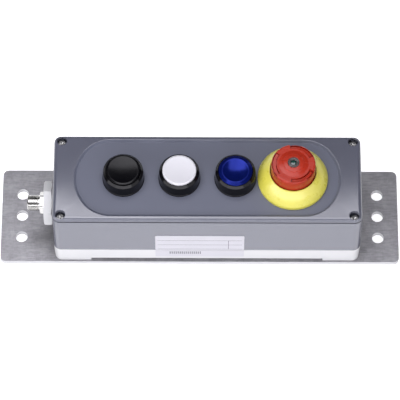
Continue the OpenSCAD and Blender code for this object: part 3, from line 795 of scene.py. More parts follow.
@dataclass(frozen=True)
class Moulding:
    """Moulded plastic: a fine eroded grain, faint clouds and a broken gloss."""

    name: str
    colour: Colour
    roughness: float = 0.45
    gloss_break: Point = (0.08, 0.08)
    specular: float = 0.5
    clouds: float = 0.05
    fine: Grain = Grain(0.35, 2.0, 0.6)
    grain_depth: float = 0.012
    cloud: Grain = Grain(24.0, 4.0, 0.55)
    wipe: Grain = Grain(7.0, 5.0, 0.6)
    wipe_stretch: Corner = (0.35, 1.0, 1.0)

    def make(self) -> bpy.types.Material:
        """Makes the material.

        Returns:
            The moulded plastic.
        """
        recipe = Recipe(self.name)
        cloud = recipe.noise(self.cloud)
        fine = recipe.noise(self.fine)
        wipe = recipe.noise(self.wipe, recipe.stretched(self.wipe_stretch))
        dark = shade_of(self.colour, 1 - self.clouds)
        light = shade_of(self.colour, 1 + self.clouds)
        recipe.feed("Base Color", recipe.tones(cloud, CLOUD_CORE, dark, light))
        recipe.gloss(wipe, self.roughness, self.gloss_break)
        recipe.fixed(Specular_IOR_Level=self.specular)
        recipe.bump(((fine, self.grain_depth), (wipe, self.grain_depth)))
        return recipe.material


@dataclass(frozen=True)
class LidPlastic:
    """The lid's dark plastic: a glossier rim round the matter, a bluish recess, and painted shade in the
    groove under its rounded top edge.
    """

    name: str
    rim: Colour
    floor: Colour
    floor_top: float
    middle: Point
    reach: Point
    line: Point
    # Painted shade: inside the groove under the rounded edge, the rim's colour is darkened by this
    # factor.
    groove_painted_shade: float = 0.5
    rim_roughness: float = 0.12
    wall_roughness: float = 0.27
    floor_roughness: float = 0.5
    rim_shine: float = 0.85
    wall_shine: float = 0.84
    floor_shine: float = 0.3
    density: float = 1.6
    wall_limit: float = 0.9
    cloud: Grain = Grain(30.0, 4.0, 0.55)
    cloud_shade: float = 0.97
    fine: Grain = Grain(0.35, 2.0, 0.6)
    fine_depth: float = 0.002

    def make(self) -> bpy.types.Material:
        """Makes the material.

        Returns:
            The lid's plastic.
        """
        recipe = Recipe(self.name)
        parts = recipe.node("ShaderNodeSeparateXYZ")
        recipe.join(recipe.place, parts.inputs[0])
        low = recipe.sum_up("LESS_THAN", parts.outputs["Z"], self.floor_top * MM)
        walls = recipe.upright_walls(self.wall_limit)
        level = recipe.inverse(walls)
        low_level = recipe.sum_up("MULTIPLY", low, level)
        slope = walls
        for axis, middle, reach in zip("XY", self.middle, self.reach):
            shifted = recipe.sum_up("SUBTRACT", parts.outputs[axis], middle * MM)
            away = recipe.sum_up("MULTIPLY", shifted, shifted)
            near = recipe.sum_up("LESS_THAN", away, (reach * MM) ** 2)
            slope = recipe.sum_up("MULTIPLY", slope, near)
        in_recess = recipe.sum_up("ADD", low_level, slope)
        on_rim = recipe.sum_up("SUBTRACT", level, low_level)
        # Painted shade: in this band, the groove under the rounded top edge, the colour is darkened and
        # the surface is matt and without shine.
        line = recipe.band(parts.outputs["Z"], *self.line)
        tint = recipe.mixed(in_recess, self.rim, self.floor)
        clouded = self.clouded(recipe, tint)
        recipe.feed(
            "Base Color", recipe.mixed(line, clouded, shade_of(self.rim, self.groove_painted_shade))
        )
        rough = recipe.remap(in_recess, self.wall_roughness, self.floor_roughness)
        glossier = recipe.sum_up("MULTIPLY", on_rim, self.rim_roughness - self.wall_roughness)
        rough = recipe.sum_up("ADD", rough, glossier)
        recipe.feed("Roughness", recipe.sum_up("MAXIMUM", rough, line))
        shine = recipe.remap(in_recess, self.wall_shine, self.floor_shine)
        extra = recipe.sum_up("MULTIPLY", on_rim, self.rim_shine - self.wall_shine)
        shine = recipe.sum_up("ADD", shine, extra)
        recipe.feed("Specular IOR Level", recipe.sum_up("MULTIPLY", shine, recipe.inverse(line)))
        recipe.fixed(IOR=self.density)
        recipe.bump(((recipe.noise(self.fine), self.fine_depth),))
        return recipe.material

    def clouded(self, recipe: Recipe, tint: bpy.types.NodeSocket) -> bpy.types.NodeSocket:
        """Darkens a colour a little in soft clouds.

        Args:
            recipe: Where the nodes are laid out.
            tint: The plain colour.

        Returns:
            The clouded colour.
        """
        dark: Colour = (self.cloud_shade,) * 3
        shade = recipe.tones(recipe.noise(self.cloud), CLOUD_CORE, dark, (1.0, 1.0, 1.0))
        return recipe.mixed(1.0, tint, shade, kind="MULTIPLY")


@dataclass(frozen=True)
class GalvanisedSheet:
    """Galvanised steel: soft crystal patches, rolling marks and dull stains, and upright cut faces of
    less metallic bare steel whose colour is also painted lighter as painted light.
    """

    name: str
    dark: Colour
    light: Colour
    # Colour of the upright cut faces: bare steel, painted lighter as painted light on the plate's edges
    # and hole walls.
    cut: Colour
    metal: float = 0.5
    cut_metal: float = 0.1
    cut_limit: float = 0.6
    roughness: float = 0.36
    gloss_break: Point = (0.06, 0.08)
    stain: Grain = Grain(14.0, 3.0, 0.6)
    crystal_size: float = 2.2
    crystal_share: float = 0.07
    patch: Grain = Grain(20.0, 5.0, 0.62)
    patch_share: float = 0.4
    rolled: Grain = Grain(1.1, 4.0, 0.6)
    rolled_stretch: Corner = (0.16, 1.0, 1.0)
    rolled_share: float = 0.4
    rolled_depth: float = 0.006
    crossed: Grain = Grain(0.9, 3.0, 0.6)
    crossed_stretch: Corner = (1.0, 0.2, 1.0)
    crossed_share: float = 0.13
    crossed_depth: float = 0.004

    def make(self) -> bpy.types.Material:
        """Makes the material.

        Returns:
            The galvanised steel.
        """
        recipe = Recipe(self.name)
        rolled = recipe.noise(self.rolled, recipe.stretched(self.rolled_stretch))
        crossed = recipe.noise(self.crossed, recipe.stretched(self.crossed_stretch))
        crystal = recipe.cells(self.crystal_size)
        tone = recipe.sum_up("MULTIPLY", crystal, self.crystal_share)
        for pattern, share in (
            (recipe.noise(self.patch), self.patch_share),
            (rolled, self.rolled_share),
            (crossed, self.crossed_share),
        ):
            tone = recipe.sum_up("ADD", tone, recipe.sum_up("MULTIPLY", pattern, share))
        face = recipe.tones(tone, NOISE_CORE, self.dark, self.light)
        # Upright faces take the lighter cut colour: partly bare cut steel, partly painted light.
        edge = recipe.upright_walls(self.cut_limit)
        recipe.feed("Base Color", recipe.mixed(edge, face, self.cut))
        recipe.gloss(recipe.noise(self.stain), self.roughness, self.gloss_break)
        recipe.feed("Metallic", recipe.remap(edge, self.metal, self.cut_metal))
        recipe.bump(((rolled, self.rolled_depth), (crossed, self.crossed_depth)))
        return recipe.material


@dataclass(frozen=True)
class PlatedMetal:
    """Bright plated metal: fine turning marks, smears and tiny scratches."""

    name: str
    colour: Colour
    roughness: float = 0.22
    gloss_break: Point = (0.06, 0.1)
    smear: Grain = Grain(2.5, 4.0, 0.6)
    smear_shade: float = 0.86
    turned: Grain = Grain(0.25, 3.0, 0.6)
    turned_stretch: Corner = (1.0, 0.15, 0.15)
    turned_depth: float = 0.004

    def make(self) -> bpy.types.Material:
        """Makes the material.

        Returns:
            The plated metal.
        """
        recipe = Recipe(self.name)
        smear = recipe.noise(self.smear)
        turned = recipe.noise(self.turned, recipe.stretched(self.turned_stretch))
        dark = shade_of(self.colour, self.smear_shade)
        recipe.feed("Base Color", recipe.tones(smear, NOISE_CORE, dark, self.colour))
        recipe.gloss(smear, self.roughness, self.gloss_break)
        recipe.fixed(Metallic=1.0)
        recipe.bump(((turned, self.turned_depth),))
        return recipe.material


@dataclass(frozen=True)
class Rubber:
    """Matt seal rubber with a dusty bloom."""

    name: str
    colour: Colour
    roughness: Point = (0.7, 0.9)
    bloom: Grain = Grain(3.0, 5.0, 0.65)
    bloom_core: Point = (0.35, 0.75)
    bloom_lift: float = 1.7
    fine: Grain = Grain(0.2, 2.0, 0.6)
    fine_depth: float = 0.01

    def make(self) -> bpy.types.Material:
        """Makes the material.

        Returns:
            The rubber.
        """
        recipe = Recipe(self.name)
        bloom = recipe.noise(self.bloom)
        dusty = shade_of(self.colour, self.bloom_lift)
        recipe.feed("Base Color", recipe.tones(bloom, self.bloom_core, self.colour, dusty))
        recipe.feed("Roughness", recipe.remap(bloom, *self.roughness))
        recipe.bump(((recipe.noise(self.fine), self.fine_depth),))
        return recipe.material


@dataclass(frozen=True)
class ClearLens:
    """Tinted lens plastic with a clear, slightly wavy skin."""

    name: str
    colour: Colour
    deep: Colour
    roughness: float = 0.16
    gloss_break: Point = (0.04, 0.06)
    coat: float = 0.6
    coat_roughness: float = 0.06
    metal: float = 0.0
    specular: float = 0.5
    cloud: Grain = Grain(6.0, 3.0, 0.5)
    fine: Grain = Grain(1.2, 3.0, 0.55)
    fine_core: Point = (0.0, 1.0)
    fine_depth: float = 0.003

    def make(self) -> bpy.types.Material:
        """Makes the material.

        Returns:
            The lens plastic.
        """
        recipe = Recipe(self.name)
        cloud = recipe.noise(self.cloud)
        fine = recipe.noise(self.fine)
        recipe.feed("Base Color", recipe.tones(cloud, NOISE_CORE, self.deep, self.colour))
        recipe.gloss(fine, self.roughness, self.gloss_break, self.fine_core)
        recipe.fixed(
            Coat_Weight=self.coat,
            Coat_Roughness=self.coat_roughness,
            Metallic=self.metal,
            Specular_IOR_Level=self.specular,
        )
        recipe.bump(((fine, self.fine_depth),))
        return recipe.material


@dataclass(frozen=True)
class PrintedFilm:
    """White label film with ruled lines and plain bars in grey print."""

    name: str
    paper: Colour
    ink: Colour
    marks: tuple[Mark, ...]
    roughness: Point = (0.34, 0.46)
    fibre: Grain = Grain(0.8, 4.0, 0.6)
    fibre_depth: float = 0.003
    cloud: Grain = Grain(12.0, 3.0, 0.5)
    cloud_shade: float = 0.965
    wear: Point = (0.6, 1.0)
    wear_core: Point = (0.3, 0.6)

    def make(self) -> bpy.types.Material:
        """Makes the material.

        Returns:
            The printed film.
        """
        recipe = Recipe(self.name)
        parts = recipe.node("ShaderNodeSeparateXYZ")
        recipe.join(recipe.place, parts.inputs[0])
        fibre = recipe.noise(self.fibre)
        dark = shade_of(self.paper, self.cloud_shade)
        paper = recipe.tones(recipe.noise(self.cloud), NOISE_CORE, dark, self.paper)
        worn = recipe.remap(fibre, *self.wear, *self.wear_core)
        ink: Optional[bpy.types.NodeSocket] = None
        for x0, x1, z0, z1 in self.marks:
            across = recipe.band(parts.outputs["X"], x0, x1)
            up = recipe.band(parts.outputs["Z"], z0, z1)
            mark = recipe.sum_up("MULTIPLY", across, up)
            ink = recipe.sum_up("MAXIMUM", ink, mark) if ink else mark
        if ink:
            paper = recipe.mixed(recipe.sum_up("MULTIPLY", ink, worn), paper, self.ink)
        recipe.feed("Base Color", paper)
        recipe.feed("Roughness", recipe.remap(fibre, *self.roughness))
        recipe.bump(((fibre, self.fibre_depth),))
        return recipe.material


class Palette:
    """Keeps the material of each slot."""

    def __init__(self) -> None:
        """Starts with no materials made."""
        self.made: dict[Slot, bpy.types.Material] = {}

    def add(self, slot: Slot, finish: "Finish") -> None:
        """Makes a finish and keeps it for its slot."""
        self.made[slot] = finish.make()

    def dress(self, piece: bpy.types.Object, slot: Slot) -> None:
        """Gives a new piece the material of its slot.

        Args:
            piece: The new piece.
            slot: Its material slot.
        """
        piece.data.materials.clear()
        piece.data.materials.append(self.made[slot])

    def paint(self, node: bpy.types.Object, slot: Slot) -> None:
        """Gives a frame node its material, in its own material slots."""
        for place in node.material_slots:
            place.material = self.made[slot]


Finish = Moulding | LidPlastic | GalvanisedSheet | PlatedMetal | Rubber | ClearLens | PrintedFilm


@dataclass
class Workshop:
    """What every sub-assembly needs: the frame's nodes and the palette."""

    nodes: dict[str, bpy.types.Object]
    palette: Palette

    def seat(self, piece: bpy.types.Object, node: str, body: str, slot: Slot) -> None:
        """Lets a piece stand for a node, ride on its body and take its finish.

        Args:
            piece: The new piece.
            node: The frame node that it stands for.
            body: The body that it rides on.
            slot: Its material slot.
        """
        self.palette.dress(piece, slot)
        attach(piece, body)
        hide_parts(node)
        LOG.info("%s stands for %s on %s", piece.name, node, body)

    def keep(self, slot: Slot, *names: str) -> None:
        """Dresses frame nodes that stay as they are.

        Args:
            slot: Their material slot.
            *names: The nodes' names.
        """
        for name in names:
            self.palette.paint(self.nodes[name], slot)
            LOG.info("%s keeps its shape in %s", name, slot.value)


HOUSING = "housing"


@dataclass
class MountingPlate:
    """The drilled plate and the screws that hold the enclosure on it."""

    edge: float = 0.35

    def build(self, shop: Workshop) -> None:
        """Builds and dresses the plate.

        Args:
            shop: The frame's nodes and the palette.
        """
        sheet = softened(shop.nodes["mounting_plate"], "plate_sheet", self.edge, steps=3)
        shop.seat(sheet, "mounting_plate", HOUSING, Slot.STEEL)
        shop.keep(Slot.ZINC, "plate_screws")


@dataclass
class LidCover:
    """The deep lid: leaning walls, a round top edge and a shallow recess."""

    lean: float = 0.5
    corner: float = 5.5
    top_round: float = 2.8
    line_height: float = 1.5
    line_depth: float = 0.4
    wall: float = 3.0
    recess_length: float = 191.0
    recess_width: float = 62.0
    recess_end: float = 36.0
    recess_blend: float = 24.0
    recess_slope: float = 1.6
    recess_fillet: float = 0.5
    panel_hole: float = 11.2
    bore_radius: float = 3.45
    bore_depth: float = 6.2
    bore_chamfer: float = 0.45
    screw_in: Point = (6.1, 5.0)
    screw_hole: float = 1.9
    post: float = 4.6
    groove_width: float = 1.52
    groove_depth: float = 1.5
    corner_steps: int = 12
    sleeve_hole: float = 10.2
    overrun: float = 0.5
    post_overrun: float = 2.0
    arc_steps: int = 14
    edge_steps: int = 8
    inner_steps: int = 8
    fillet_run: float = 2.0
    crease: float = 33.0
    low: Vector = field(init=False)
    high: Vector = field(init=False)
    middle: Vector = field(init=False)
    panel: float = field(init=False)
    length: float = field(init=False)
    width: float = field(init=False)

    def build(self) -> bpy.types.Object:
        """Builds the lid from loops and cuts its openings.

        Returns:
            The lid, shaded.
        """
        low, high = mm_box("lid")
        self.low, self.high = low, high
        self.middle = (low + high) / 2
        self.panel = mm_box("black_gasket")[0].z
        self.length, self.width = high.x - low.x, high.y - low.y
        cover = self.skin()
        room = self.prism("lid_room", self.wall, low.z - self.overrun, self.panel - self.wall)
        posts = MeshMaker("lid_posts")
        for x, y in self.screw_places():
            foot = low.z - self.post_overrun
            self.round_bar(posts, upright(x, y, 0), self.post, foot, self.panel)
        carve(room, posts.finish())
        carve(cover, room)
        carve(cover, self.openings())
        mesh = cover.data
        bpy.data.objects.remove(cover)
        mesh.name = "lid_cover"
        return shaded(mesh, "lid_cover", self.crease, weighted=True)

    def screw_places(self) -> list[Point]:
        """Gives the places of the four lid screws.

        Returns:
            X and Y of each, in millimetres.
        """
        reach_x = self.length / 2 - self.screw_in[0]
        reach_y = self.width / 2 - self.screw_in[1]
        return [
            (self.middle.x + side * reach_x, self.middle.y + end * reach_y)
            for side in (-1, 1)
            for end in (-1, 1)
        ]

    def level(self, outline: Sequence[Point], height: float) -> list[Vector]:
        """Lays an outline about the lid's middle at a height."""
        return [Vector((self.middle.x + x, self.middle.y + y, height)) for x, y in outline]

    def plan(self, inset: float, steps: int) -> list[Point]:
        """Gives the lid's outline, drawn in.

        Args:
            inset: How far it is drawn in.
            steps: Steps of each corner.

        Returns:
            Its points about the lid's middle.
        """
        length, width = self.length - 2 * inset, self.width - 2 * inset
        return round_box(length, width, self.corner - inset, steps)

    def recess_outline(self, inset: float) -> list[Point]:
        """Gives the recess's outline: straight sides, wide end arcs and blends.

        Args:
            inset: How far the outline is drawn in.

        Returns:
            Its points about the lid's middle.
        """
        blend_y = self.recess_width / 2 - self.recess_blend
        reach = self.recess_end - self.recess_blend
        blend_x = math.sqrt(reach * reach - blend_y * blend_y)
        end_x = self.recess_length / 2 - self.recess_end
        turn = math.atan2(blend_y, blend_x)
        points: list[Point] = []
        arcs = (
            (end_x, 0.0, self.recess_end, -turn, turn),
            (end_x + blend_x, blend_y, self.recess_blend, turn, math.pi / 2),
            (-end_x - blend_x, blend_y, self.recess_blend, math.pi / 2, math.pi - turn),
            (-end_x, 0.0, self.recess_end, math.pi - turn, math.pi + turn),
            (-end_x - blend_x, -blend_y, self.recess_blend, math.pi + turn, 1.5 * math.pi),
            (end_x + blend_x, -blend_y, self.recess_blend, 1.5 * math.pi, FULL_TURN - turn),
        )
        for x, y, radius, start, end in arcs:
            reach = radius - inset
            for k in range(self.arc_steps):
                angle = start + (end - start) * k / self.arc_steps
                points.append((x + reach * math.cos(angle), y + reach * math.sin(angle)))
            if abs(end % math.pi - math.pi / 2) < TINY:
                points.append((x, y + math.copysign(reach, math.sin(end))))
        return points

    def skin(self) -> bpy.types.Object:
        """Makes the lid's outer skin, with its shadow line, top rounding and recess.

        Returns:
            The skin as a closed solid.
        """
        maker = MeshMaker("lid_skin")
        top = self.high.z
        round_foot = top - self.top_round
        shapes = [
            (0.0, self.low.z),
            (self.lean, round_foot - self.line_height),
            (self.lean + self.line_depth, round_foot - self.line_height / 2),
            (self.lean, round_foot),
        ]
        for k in range(1, self.edge_steps + 1):
            angle = math.pi / 2 * k / self.edge_steps
            inset = self.lean + self.top_round * (1 - math.cos(angle))
            shapes.append((inset, round_foot + self.top_round * math.sin(angle)))
        rings = [
            maker.ring(self.level(self.plan(inset, self.corner_steps), height))
            for inset, height in shapes
        ]
        for one, other in zip(rings, rings[1:]):
            maker.bridge(one, other)
        maker.faces.append(tuple(reversed(rings[0])))
        slope = rounded(
            [
                (-self.fillet_run, top, 0.0),
                (0.0, top, self.recess_fillet),
                (self.recess_slope, self.panel, self.recess_fillet),
                (self.recess_slope + self.fillet_run, self.panel, 0.0),
            ],
            closed=False,
        )[1:-1]
        recess = [maker.ring(self.level(self.recess_outline(inset), z)) for inset, z in slope]
        for one, other in zip(recess, recess[1:]):
            maker.bridge(one, other)
        maker.faces.append(tuple(recess[-1]))
        maker.fill_between(rings[-1], recess[0])
        return maker.finish(self.crease, weighted=False)

    def prism(self, name: str, inset: float, foot: float, top: float) -> bpy.types.Object:
        """Makes an upright block that follows the lid's plan, drawn in.

        Args:
            name: Name of the block.
            inset: How far it is drawn in.
            foot: Height of its foot.
            top: Height of its top.

        Returns:
            The block.
        """
        maker = MeshMaker(name)
        plan = self.plan(inset, self.inner_steps)
        maker.lofted([self.level(plan, foot), self.level(plan, top)], Matrix.Identity(4))
        return maker.finish(self.crease, weighted=False)

    @staticmethod
    def round_bar(
        maker: MeshMaker, place: Matrix, radius: float, foot: float, top: float
    ) -> None:
        """Adds a plain bar to a cutter."""
        outline = [(0.0, foot), (radius, foot), (radius, top), (0.0, top)]
        maker.turned(outline, place, BORE_STEPS)

    def openings(self) -> bpy.types.Object:
        """Makes the cutter of the panel holes, counterbores, groove and sleeve hole.

        Returns:
            The cutter.
        """
        maker = MeshMaker("lid_openings")
        for name in ("black_bezel", "white_bezel", "blue_bezel", "stop_collar"):
            spot = mm_centre(name)
            place = upright(spot.x, spot.y, 0)
            foot = self.panel - self.wall - self.overrun
            self.round_bar(maker, place, self.panel_hole, foot, self.panel + self.overrun)
        top = self.high.z
        bore_foot = top - self.bore_depth
        flare = self.bore_chamfer + self.overrun
        stepped = [
            (0.0, self.low.z - self.overrun),
            (self.screw_hole, self.low.z - self.overrun),
            (self.screw_hole, bore_foot),
            (self.bore_radius, bore_foot),
            (self.bore_radius, top - self.bore_chamfer),
            (self.bore_radius + flare, top + self.overrun),
            (0.0, top + self.overrun),
        ]
        for x, y in self.screw_places():
            maker.turned(stepped, upright(x, y, 0), BORE_STEPS)
        near = (self.wall - self.groove_width) / 2
        far = (self.wall + self.groove_width) / 2
        foot, top = self.low.z - self.overrun, self.low.z + self.groove_depth
        loops = [
            maker.ring(self.level(self.plan(inset, self.inner_steps), height))
            for inset, height in ((near, foot), (near, top), (far, top), (far, foot))
        ]
        for one, other in zip(loops, loops[1:] + loops[:1]):
            maker.bridge(one, other)
        seal = mm_centre("adapter_seal")
        place = outward_left(self.low.x + self.wall, seal.y, seal.z)
        self.round_bar(
            maker, place, self.sleeve_hole, -self.overrun, self.wall + 2 * self.overrun
        )
        return maker.finish(self.crease, weighted=False)


@dataclass
class Enclosure:
    """Base, lid, their seal, the lid's screws and the labels."""

    base_edge: float = 0.3
    head_radius: float = 2.9
    head_height: float = 2.0
    dome: float = 0.35
    rim_round: float = 0.35
    cross_reach: float = 1.75
    cross_half: float = 0.42
    cross_depth: float = 1.1
    cross_flare: float = 0.22
    shank_radius: float = 1.7
    cross_taper: float = 0.55
    crown_steps: int = 26
    crown_share: float = 0.96
    crown_drop: float = 0.02
    head_edge: float = 0.2
    first_turn: float = 17.0
    turn_along: float = 31.0
    turn_across: float = 52.0
    label_corner: float = 1.2
    label_thickness: float = 0.12
    label_gap: float = 0.06
    wall_lean: float = 0.5 / 42.7
    base_lean: float = 0.5 / 17.0

    def build(self, shop: Workshop) -> None:
        """Builds and dresses the enclosure.

        Args:
            shop: The frame's nodes and the palette.
        """
        tray = softened(shop.nodes["base"], "base_tray", self.base_edge)
        shop.seat(tray, "base", HOUSING, Slot.PALE)
        shop.seat(LidCover().build(), "lid", HOUSING, Slot.LID)
        shop.keep(Slot.SEAL, "lid_gasket")
        shop.seat(self.screws(), "lid_screws", HOUSING, Slot.ZINC)
        for node, lean, falls in (
            ("upper_label", self.wall_lean, False),
            ("lower_label", self.base_lean, True),
        ):
            shop.seat(self.label(node, lean, falls), node, HOUSING, Slot.FILM)

    def cross(self, radius: float, height: float, angle: float) -> float:
        """Sinks a cross recess into a screw's head.

        Args:
            radius: Distance from the screw's axis.
            height: Height of the plain head there.
            angle: Angle about the axis.

        Returns:
            The height with the recess in it.
        """
        if height < 0:
            return height
        x = abs(radius * math.cos(angle))
        y = abs(radius * math.sin(angle))
        arm, side = max(x, y), min(x, y)
        inside = smooth_step((self.cross_half + self.cross_flare - side) / self.cross_flare)
        reach = smooth_step((self.cross_reach - arm) / self.cross_flare)
        taper = 1 - self.cross_taper * min(1.0, arm / self.cross_reach)
        return height - self.cross_depth * inside * reach * taper

    def screws(self) -> bpy.types.Object:
        """Makes the four lid screws, with domed heads and cross recesses.

        Returns:
            The screws as one piece.
        """
        low, high = mm_box("lid_screws")
        maker = MeshMaker("lid_screw_set")
        head = self.head_radius
        seat = self.dome - self.head_height
        tip = low.z - high.z + self.dome
        shares = [k / self.crown_steps for k in range(self.crown_steps)]
        crown = [(head * share, self.dome * (1 - share * share)) for share in shares]
        side = rounded(
            [
                (head * self.crown_share, -self.crown_drop, 0.0),
                (head, -self.rim_round, self.head_edge),
                (head, seat, 0.0),
                (self.shank_radius, seat, 0.0),
                (self.shank_radius, tip, 0.0),
                (0.0, tip, 0.0),
            ],
            closed=False,
        )
        for k, x in enumerate((low.x + head, high.x - head)):
            for n, y in enumerate((low.y + head, high.y - head)):
                degrees = self.first_turn + self.turn_along * k + self.turn_across * n
                turn = Matrix.Rotation(math.radians(degrees), 4, "Z")
                place = upright(x, y, high.z - self.dome) @ turn
                maker.turned(crown + side, place, BORE_STEPS, self.cross)
        return maker.finish(crease=50.0)

    def label(self, node: str, lean: float, falls: bool) -> bpy.types.Object:
        """Makes a thin label that follows the wall behind it.

        Args:
            node: The frame node that the label stands for.
            lean: Lean of the wall, as depth over height.
            falls: Whether the wall leans in below the label, not above.

        Returns:
            The label.
        """
        low, high = mm_box(node)
        width, height = high.x - low.x, high.z - low.z
        corner = self.label_corner
        outline = rounded(
            [(0, 0, corner), (width, 0, corner), (width, height, corner), (0, height, corner)],
            arc_steps=5,
        )
        maker = MeshMaker(f"{node}_film")
        loops = []
        for depth in (0.0, self.label_thickness):
            loop = []
            for x, z in outline:
                rise = (height - z) if falls else z
                y = high.y - self.label_gap + rise * lean - depth
                loop.append(Vector((low.x + x, y, low.z + z)))
            loops.append(loop)
        maker.lofted(loops, Matrix.Identity(4))
        return maker.finish(crease=30.0, weighted=False)


@dataclass
class Connector:
    """The adapter in the left wall and the threaded connector in it."""

    across_adapter: float = 28.0
    adapter_turn: float = 4.0
    adapter_height: float = 6.0
    across_nut: float = 14.5
    nut_turn: float = 8.0
    nut_height: float = 3.0
    thread_radius: float = 6.0
    thread_pitch: float = 1.0
    thread_depth: float = 0.5
    tip_chamfer: float = 0.6
    socket_radius: float = 4.5
    socket_depth: float = 8.4
    tail_radius: float = 5.7
    tail_length: float = 12.0
    bore_radius: float = 3.7
    sleeve_radius: float = 10.0
    adapter_bore: float = 5.76
    sleeve_length: float = 12.8
    pin_radius: float = 0.45
    pin_circle: float = 2.75
    pin_count: int = 7
    pin_edge: float = 0.1
    pin_tip: float = 0.9
    pin_steps: int = 24
    corner_cut: float = 0.35
    adapter_chamfer: float = 1.1
    nut_chamfer: float = 0.7
    chamfer_angle: float = 30.0
    bore_edge: float = 0.4
    sleeve_edge: float = 0.5
    undercut: float = 0.5
    undercut_edge: float = 0.05
    steps_a_turn: int = 8
    lip_round: float = 0.15
    mouth_flare: Point = (0.25, 0.4)
    mouth_round: float = 0.1
    crease: float = 24.0
    y: float = field(init=False)
    z: float = field(init=False)
    nose: float = field(init=False)
    adapter_face: float = field(init=False)

    def build(self, shop: Workshop) -> None:
        """Builds and dresses the connector.

        Args:
            shop: The frame's nodes and the palette.
        """
        middle = mm_centre("adapter_seal")
        self.y, self.z = middle.y, middle.z
        self.nose = mm_box("connector_shell")[0].x
        self.adapter_face = mm_box("connector_adapter")[0].x
        shop.seat(self.adapter(), "connector_adapter", HOUSING, Slot.PALE)
        shop.seat(self.shell(), "connector_shell", HOUSING, Slot.NICKEL)
        shop.seat(self.pins(), "connector_pins", HOUSING, Slot.GOLD)
        shop.keep(Slot.PALE, "adapter_seal", "adapter_locknut")
        shop.keep(Slot.BLACK, "connector_insert")

    @staticmethod
    def hexagon(across: float, height: float, inset: float) -> list[Vector]:
        """Gives a hexagon's loop with many points on each side.

        Args:
            across: Width across its flats.
            height: Height of the loop.
            inset: How far the corners are turned off, as on a nut.

        Returns:
            The loop's points.
        """
        flat = across / 2
        corner_radius = flat / math.cos(math.pi / 6) - inset
        points = []
        for k in range(ROUND_STEPS):
            angle = FULL_TURN * k / ROUND_STEPS
            from_flat = angle % (math.pi / 3) - math.pi / 6
            radius = min(flat / math.cos(from_flat), corner_radius)
            points.append(Vector((radius * math.cos(angle), radius * math.sin(angle), height)))
        return points

    def hex_loops(self, across: float, low: float, high: float, chamfer: float) -> list[list[Vector]]:
        """Gives the loops of a hexagon with turned-off corners at both ends.

        Args:
            across: Width across its flats.
            low: Height of its lower end.
            high: Height of its upper end.
            chamfer: How far the corners are turned off.

        Returns:
            The loops from the lower end to the upper.
        """
        fall = chamfer * math.tan(math.radians(self.chamfer_angle))
        steps = ((low, 1.0), (low + fall / 2, 0.5), (low + fall, 0.0))
        mirrored = tuple((low + high - z, share) for z, share in reversed(steps))
        return [
            self.hexagon(across, z, self.corner_cut + chamfer * share)
            for z, share in steps + mirrored
        ]

    def adapter(self) -> bpy.types.Object:
        """Makes the pale hexagonal adapter with its sleeve and bore.

        Returns:
            The adapter.
        """
        maker = MeshMaker("adapter_hexagon")
        foot = self.adapter_face + self.adapter_height
        place = outward_left(foot, self.y, self.z, self.adapter_turn)
        top = self.adapter_height
        loops = self.hex_loops(self.across_adapter, 0.0, top, self.adapter_chamfer)
        rings = [maker.ring([place @ point for point in loop]) for loop in loops]
        for one, other in zip(rings, rings[1:]):
            maker.bridge(one, other)
        inner = [
            (self.adapter_bore + self.bore_edge, top),
            (self.adapter_bore, top - self.bore_edge),
            (self.adapter_bore, -self.sleeve_length),
            (self.sleeve_radius - self.sleeve_edge, -self.sleeve_length),
            (self.sleeve_radius, self.sleeve_edge - self.sleeve_length),
            (self.sleeve_radius, 0.0),
        ]
        last = rings[-1]
        for radius, height in inner:
            ring = maker.circle(radius, height, place, ROUND_STEPS)
            maker.bridge(last, ring)
            last = ring
        maker.bridge(last, rings[0])
        return maker.finish(self.crease)

    def thread(self, radius: float, height: float, angle: float) -> float:
        """Gives the radius of the thread's flank at a height and an angle."""
        turn = (height / self.thread_pitch - angle / FULL_TURN) % 1.0
        return radius - self.thread_depth * abs(2 * turn - 1)

    def shell(self) -> bpy.types.Object:
        """Makes the plated shell: nut, threaded nose, open socket and tail.

        Returns:
            The shell.
        """
        maker = MeshMaker("connector_body")
        place = outward_left(self.adapter_face, self.y, self.z, self.nut_turn)
        length = self.adapter_face - self.nose
        loops = self.hex_loops(self.across_nut, 0.0, self.nut_height, self.nut_chamfer)
        rings = [maker.ring([place @ point for point in loop]) for loop in loops]
        start = self.nut_height + self.undercut
        span = length - self.tip_chamfer - start
        levels = [self.nut_height, start - self.undercut_edge]
        count = math.ceil(span / (self.thread_pitch / self.steps_a_turn))
        levels += [start + span * k / count for k in range(count + 1)]
        plain = self.thread_radius - self.thread_depth
        for height in levels:
            fade = smooth_step((height - start) / self.thread_pitch)
            points = []
            for k in range(ROUND_STEPS):
                angle = FULL_TURN * k / ROUND_STEPS
                cut = self.thread(self.thread_radius, height, angle)
                radius = plain + (cut - plain) * fade
                points.append(
                    place @ Vector((radius * math.cos(angle), radius * math.sin(angle), height))
                )
            rings.append(maker.ring(points))
        inside = rounded(
            [
                (self.thread_radius - self.tip_chamfer, length, self.lip_round),
                (self.socket_radius + self.mouth_flare[0], length, self.lip_round),
                (self.socket_radius, length - self.mouth_flare[1], self.mouth_round),
                (self.socket_radius, length - self.socket_depth, 0.0),
                (self.bore_radius, length - self.socket_depth, 0.0),
                (self.bore_radius, -self.tail_length, 0.0),
                (self.tail_radius, -self.tail_length, 0.0),
                (self.tail_radius, 0.0, 0.0),
            ],
            closed=False,
        )
        for radius, height in inside:
            rings.append(maker.circle(radius, height, place, ROUND_STEPS))
        for one, other in zip(rings, rings[1:]):
            maker.bridge(one, other)
        maker.bridge(rings[-1], rings[0])
        return maker.finish(self.crease)

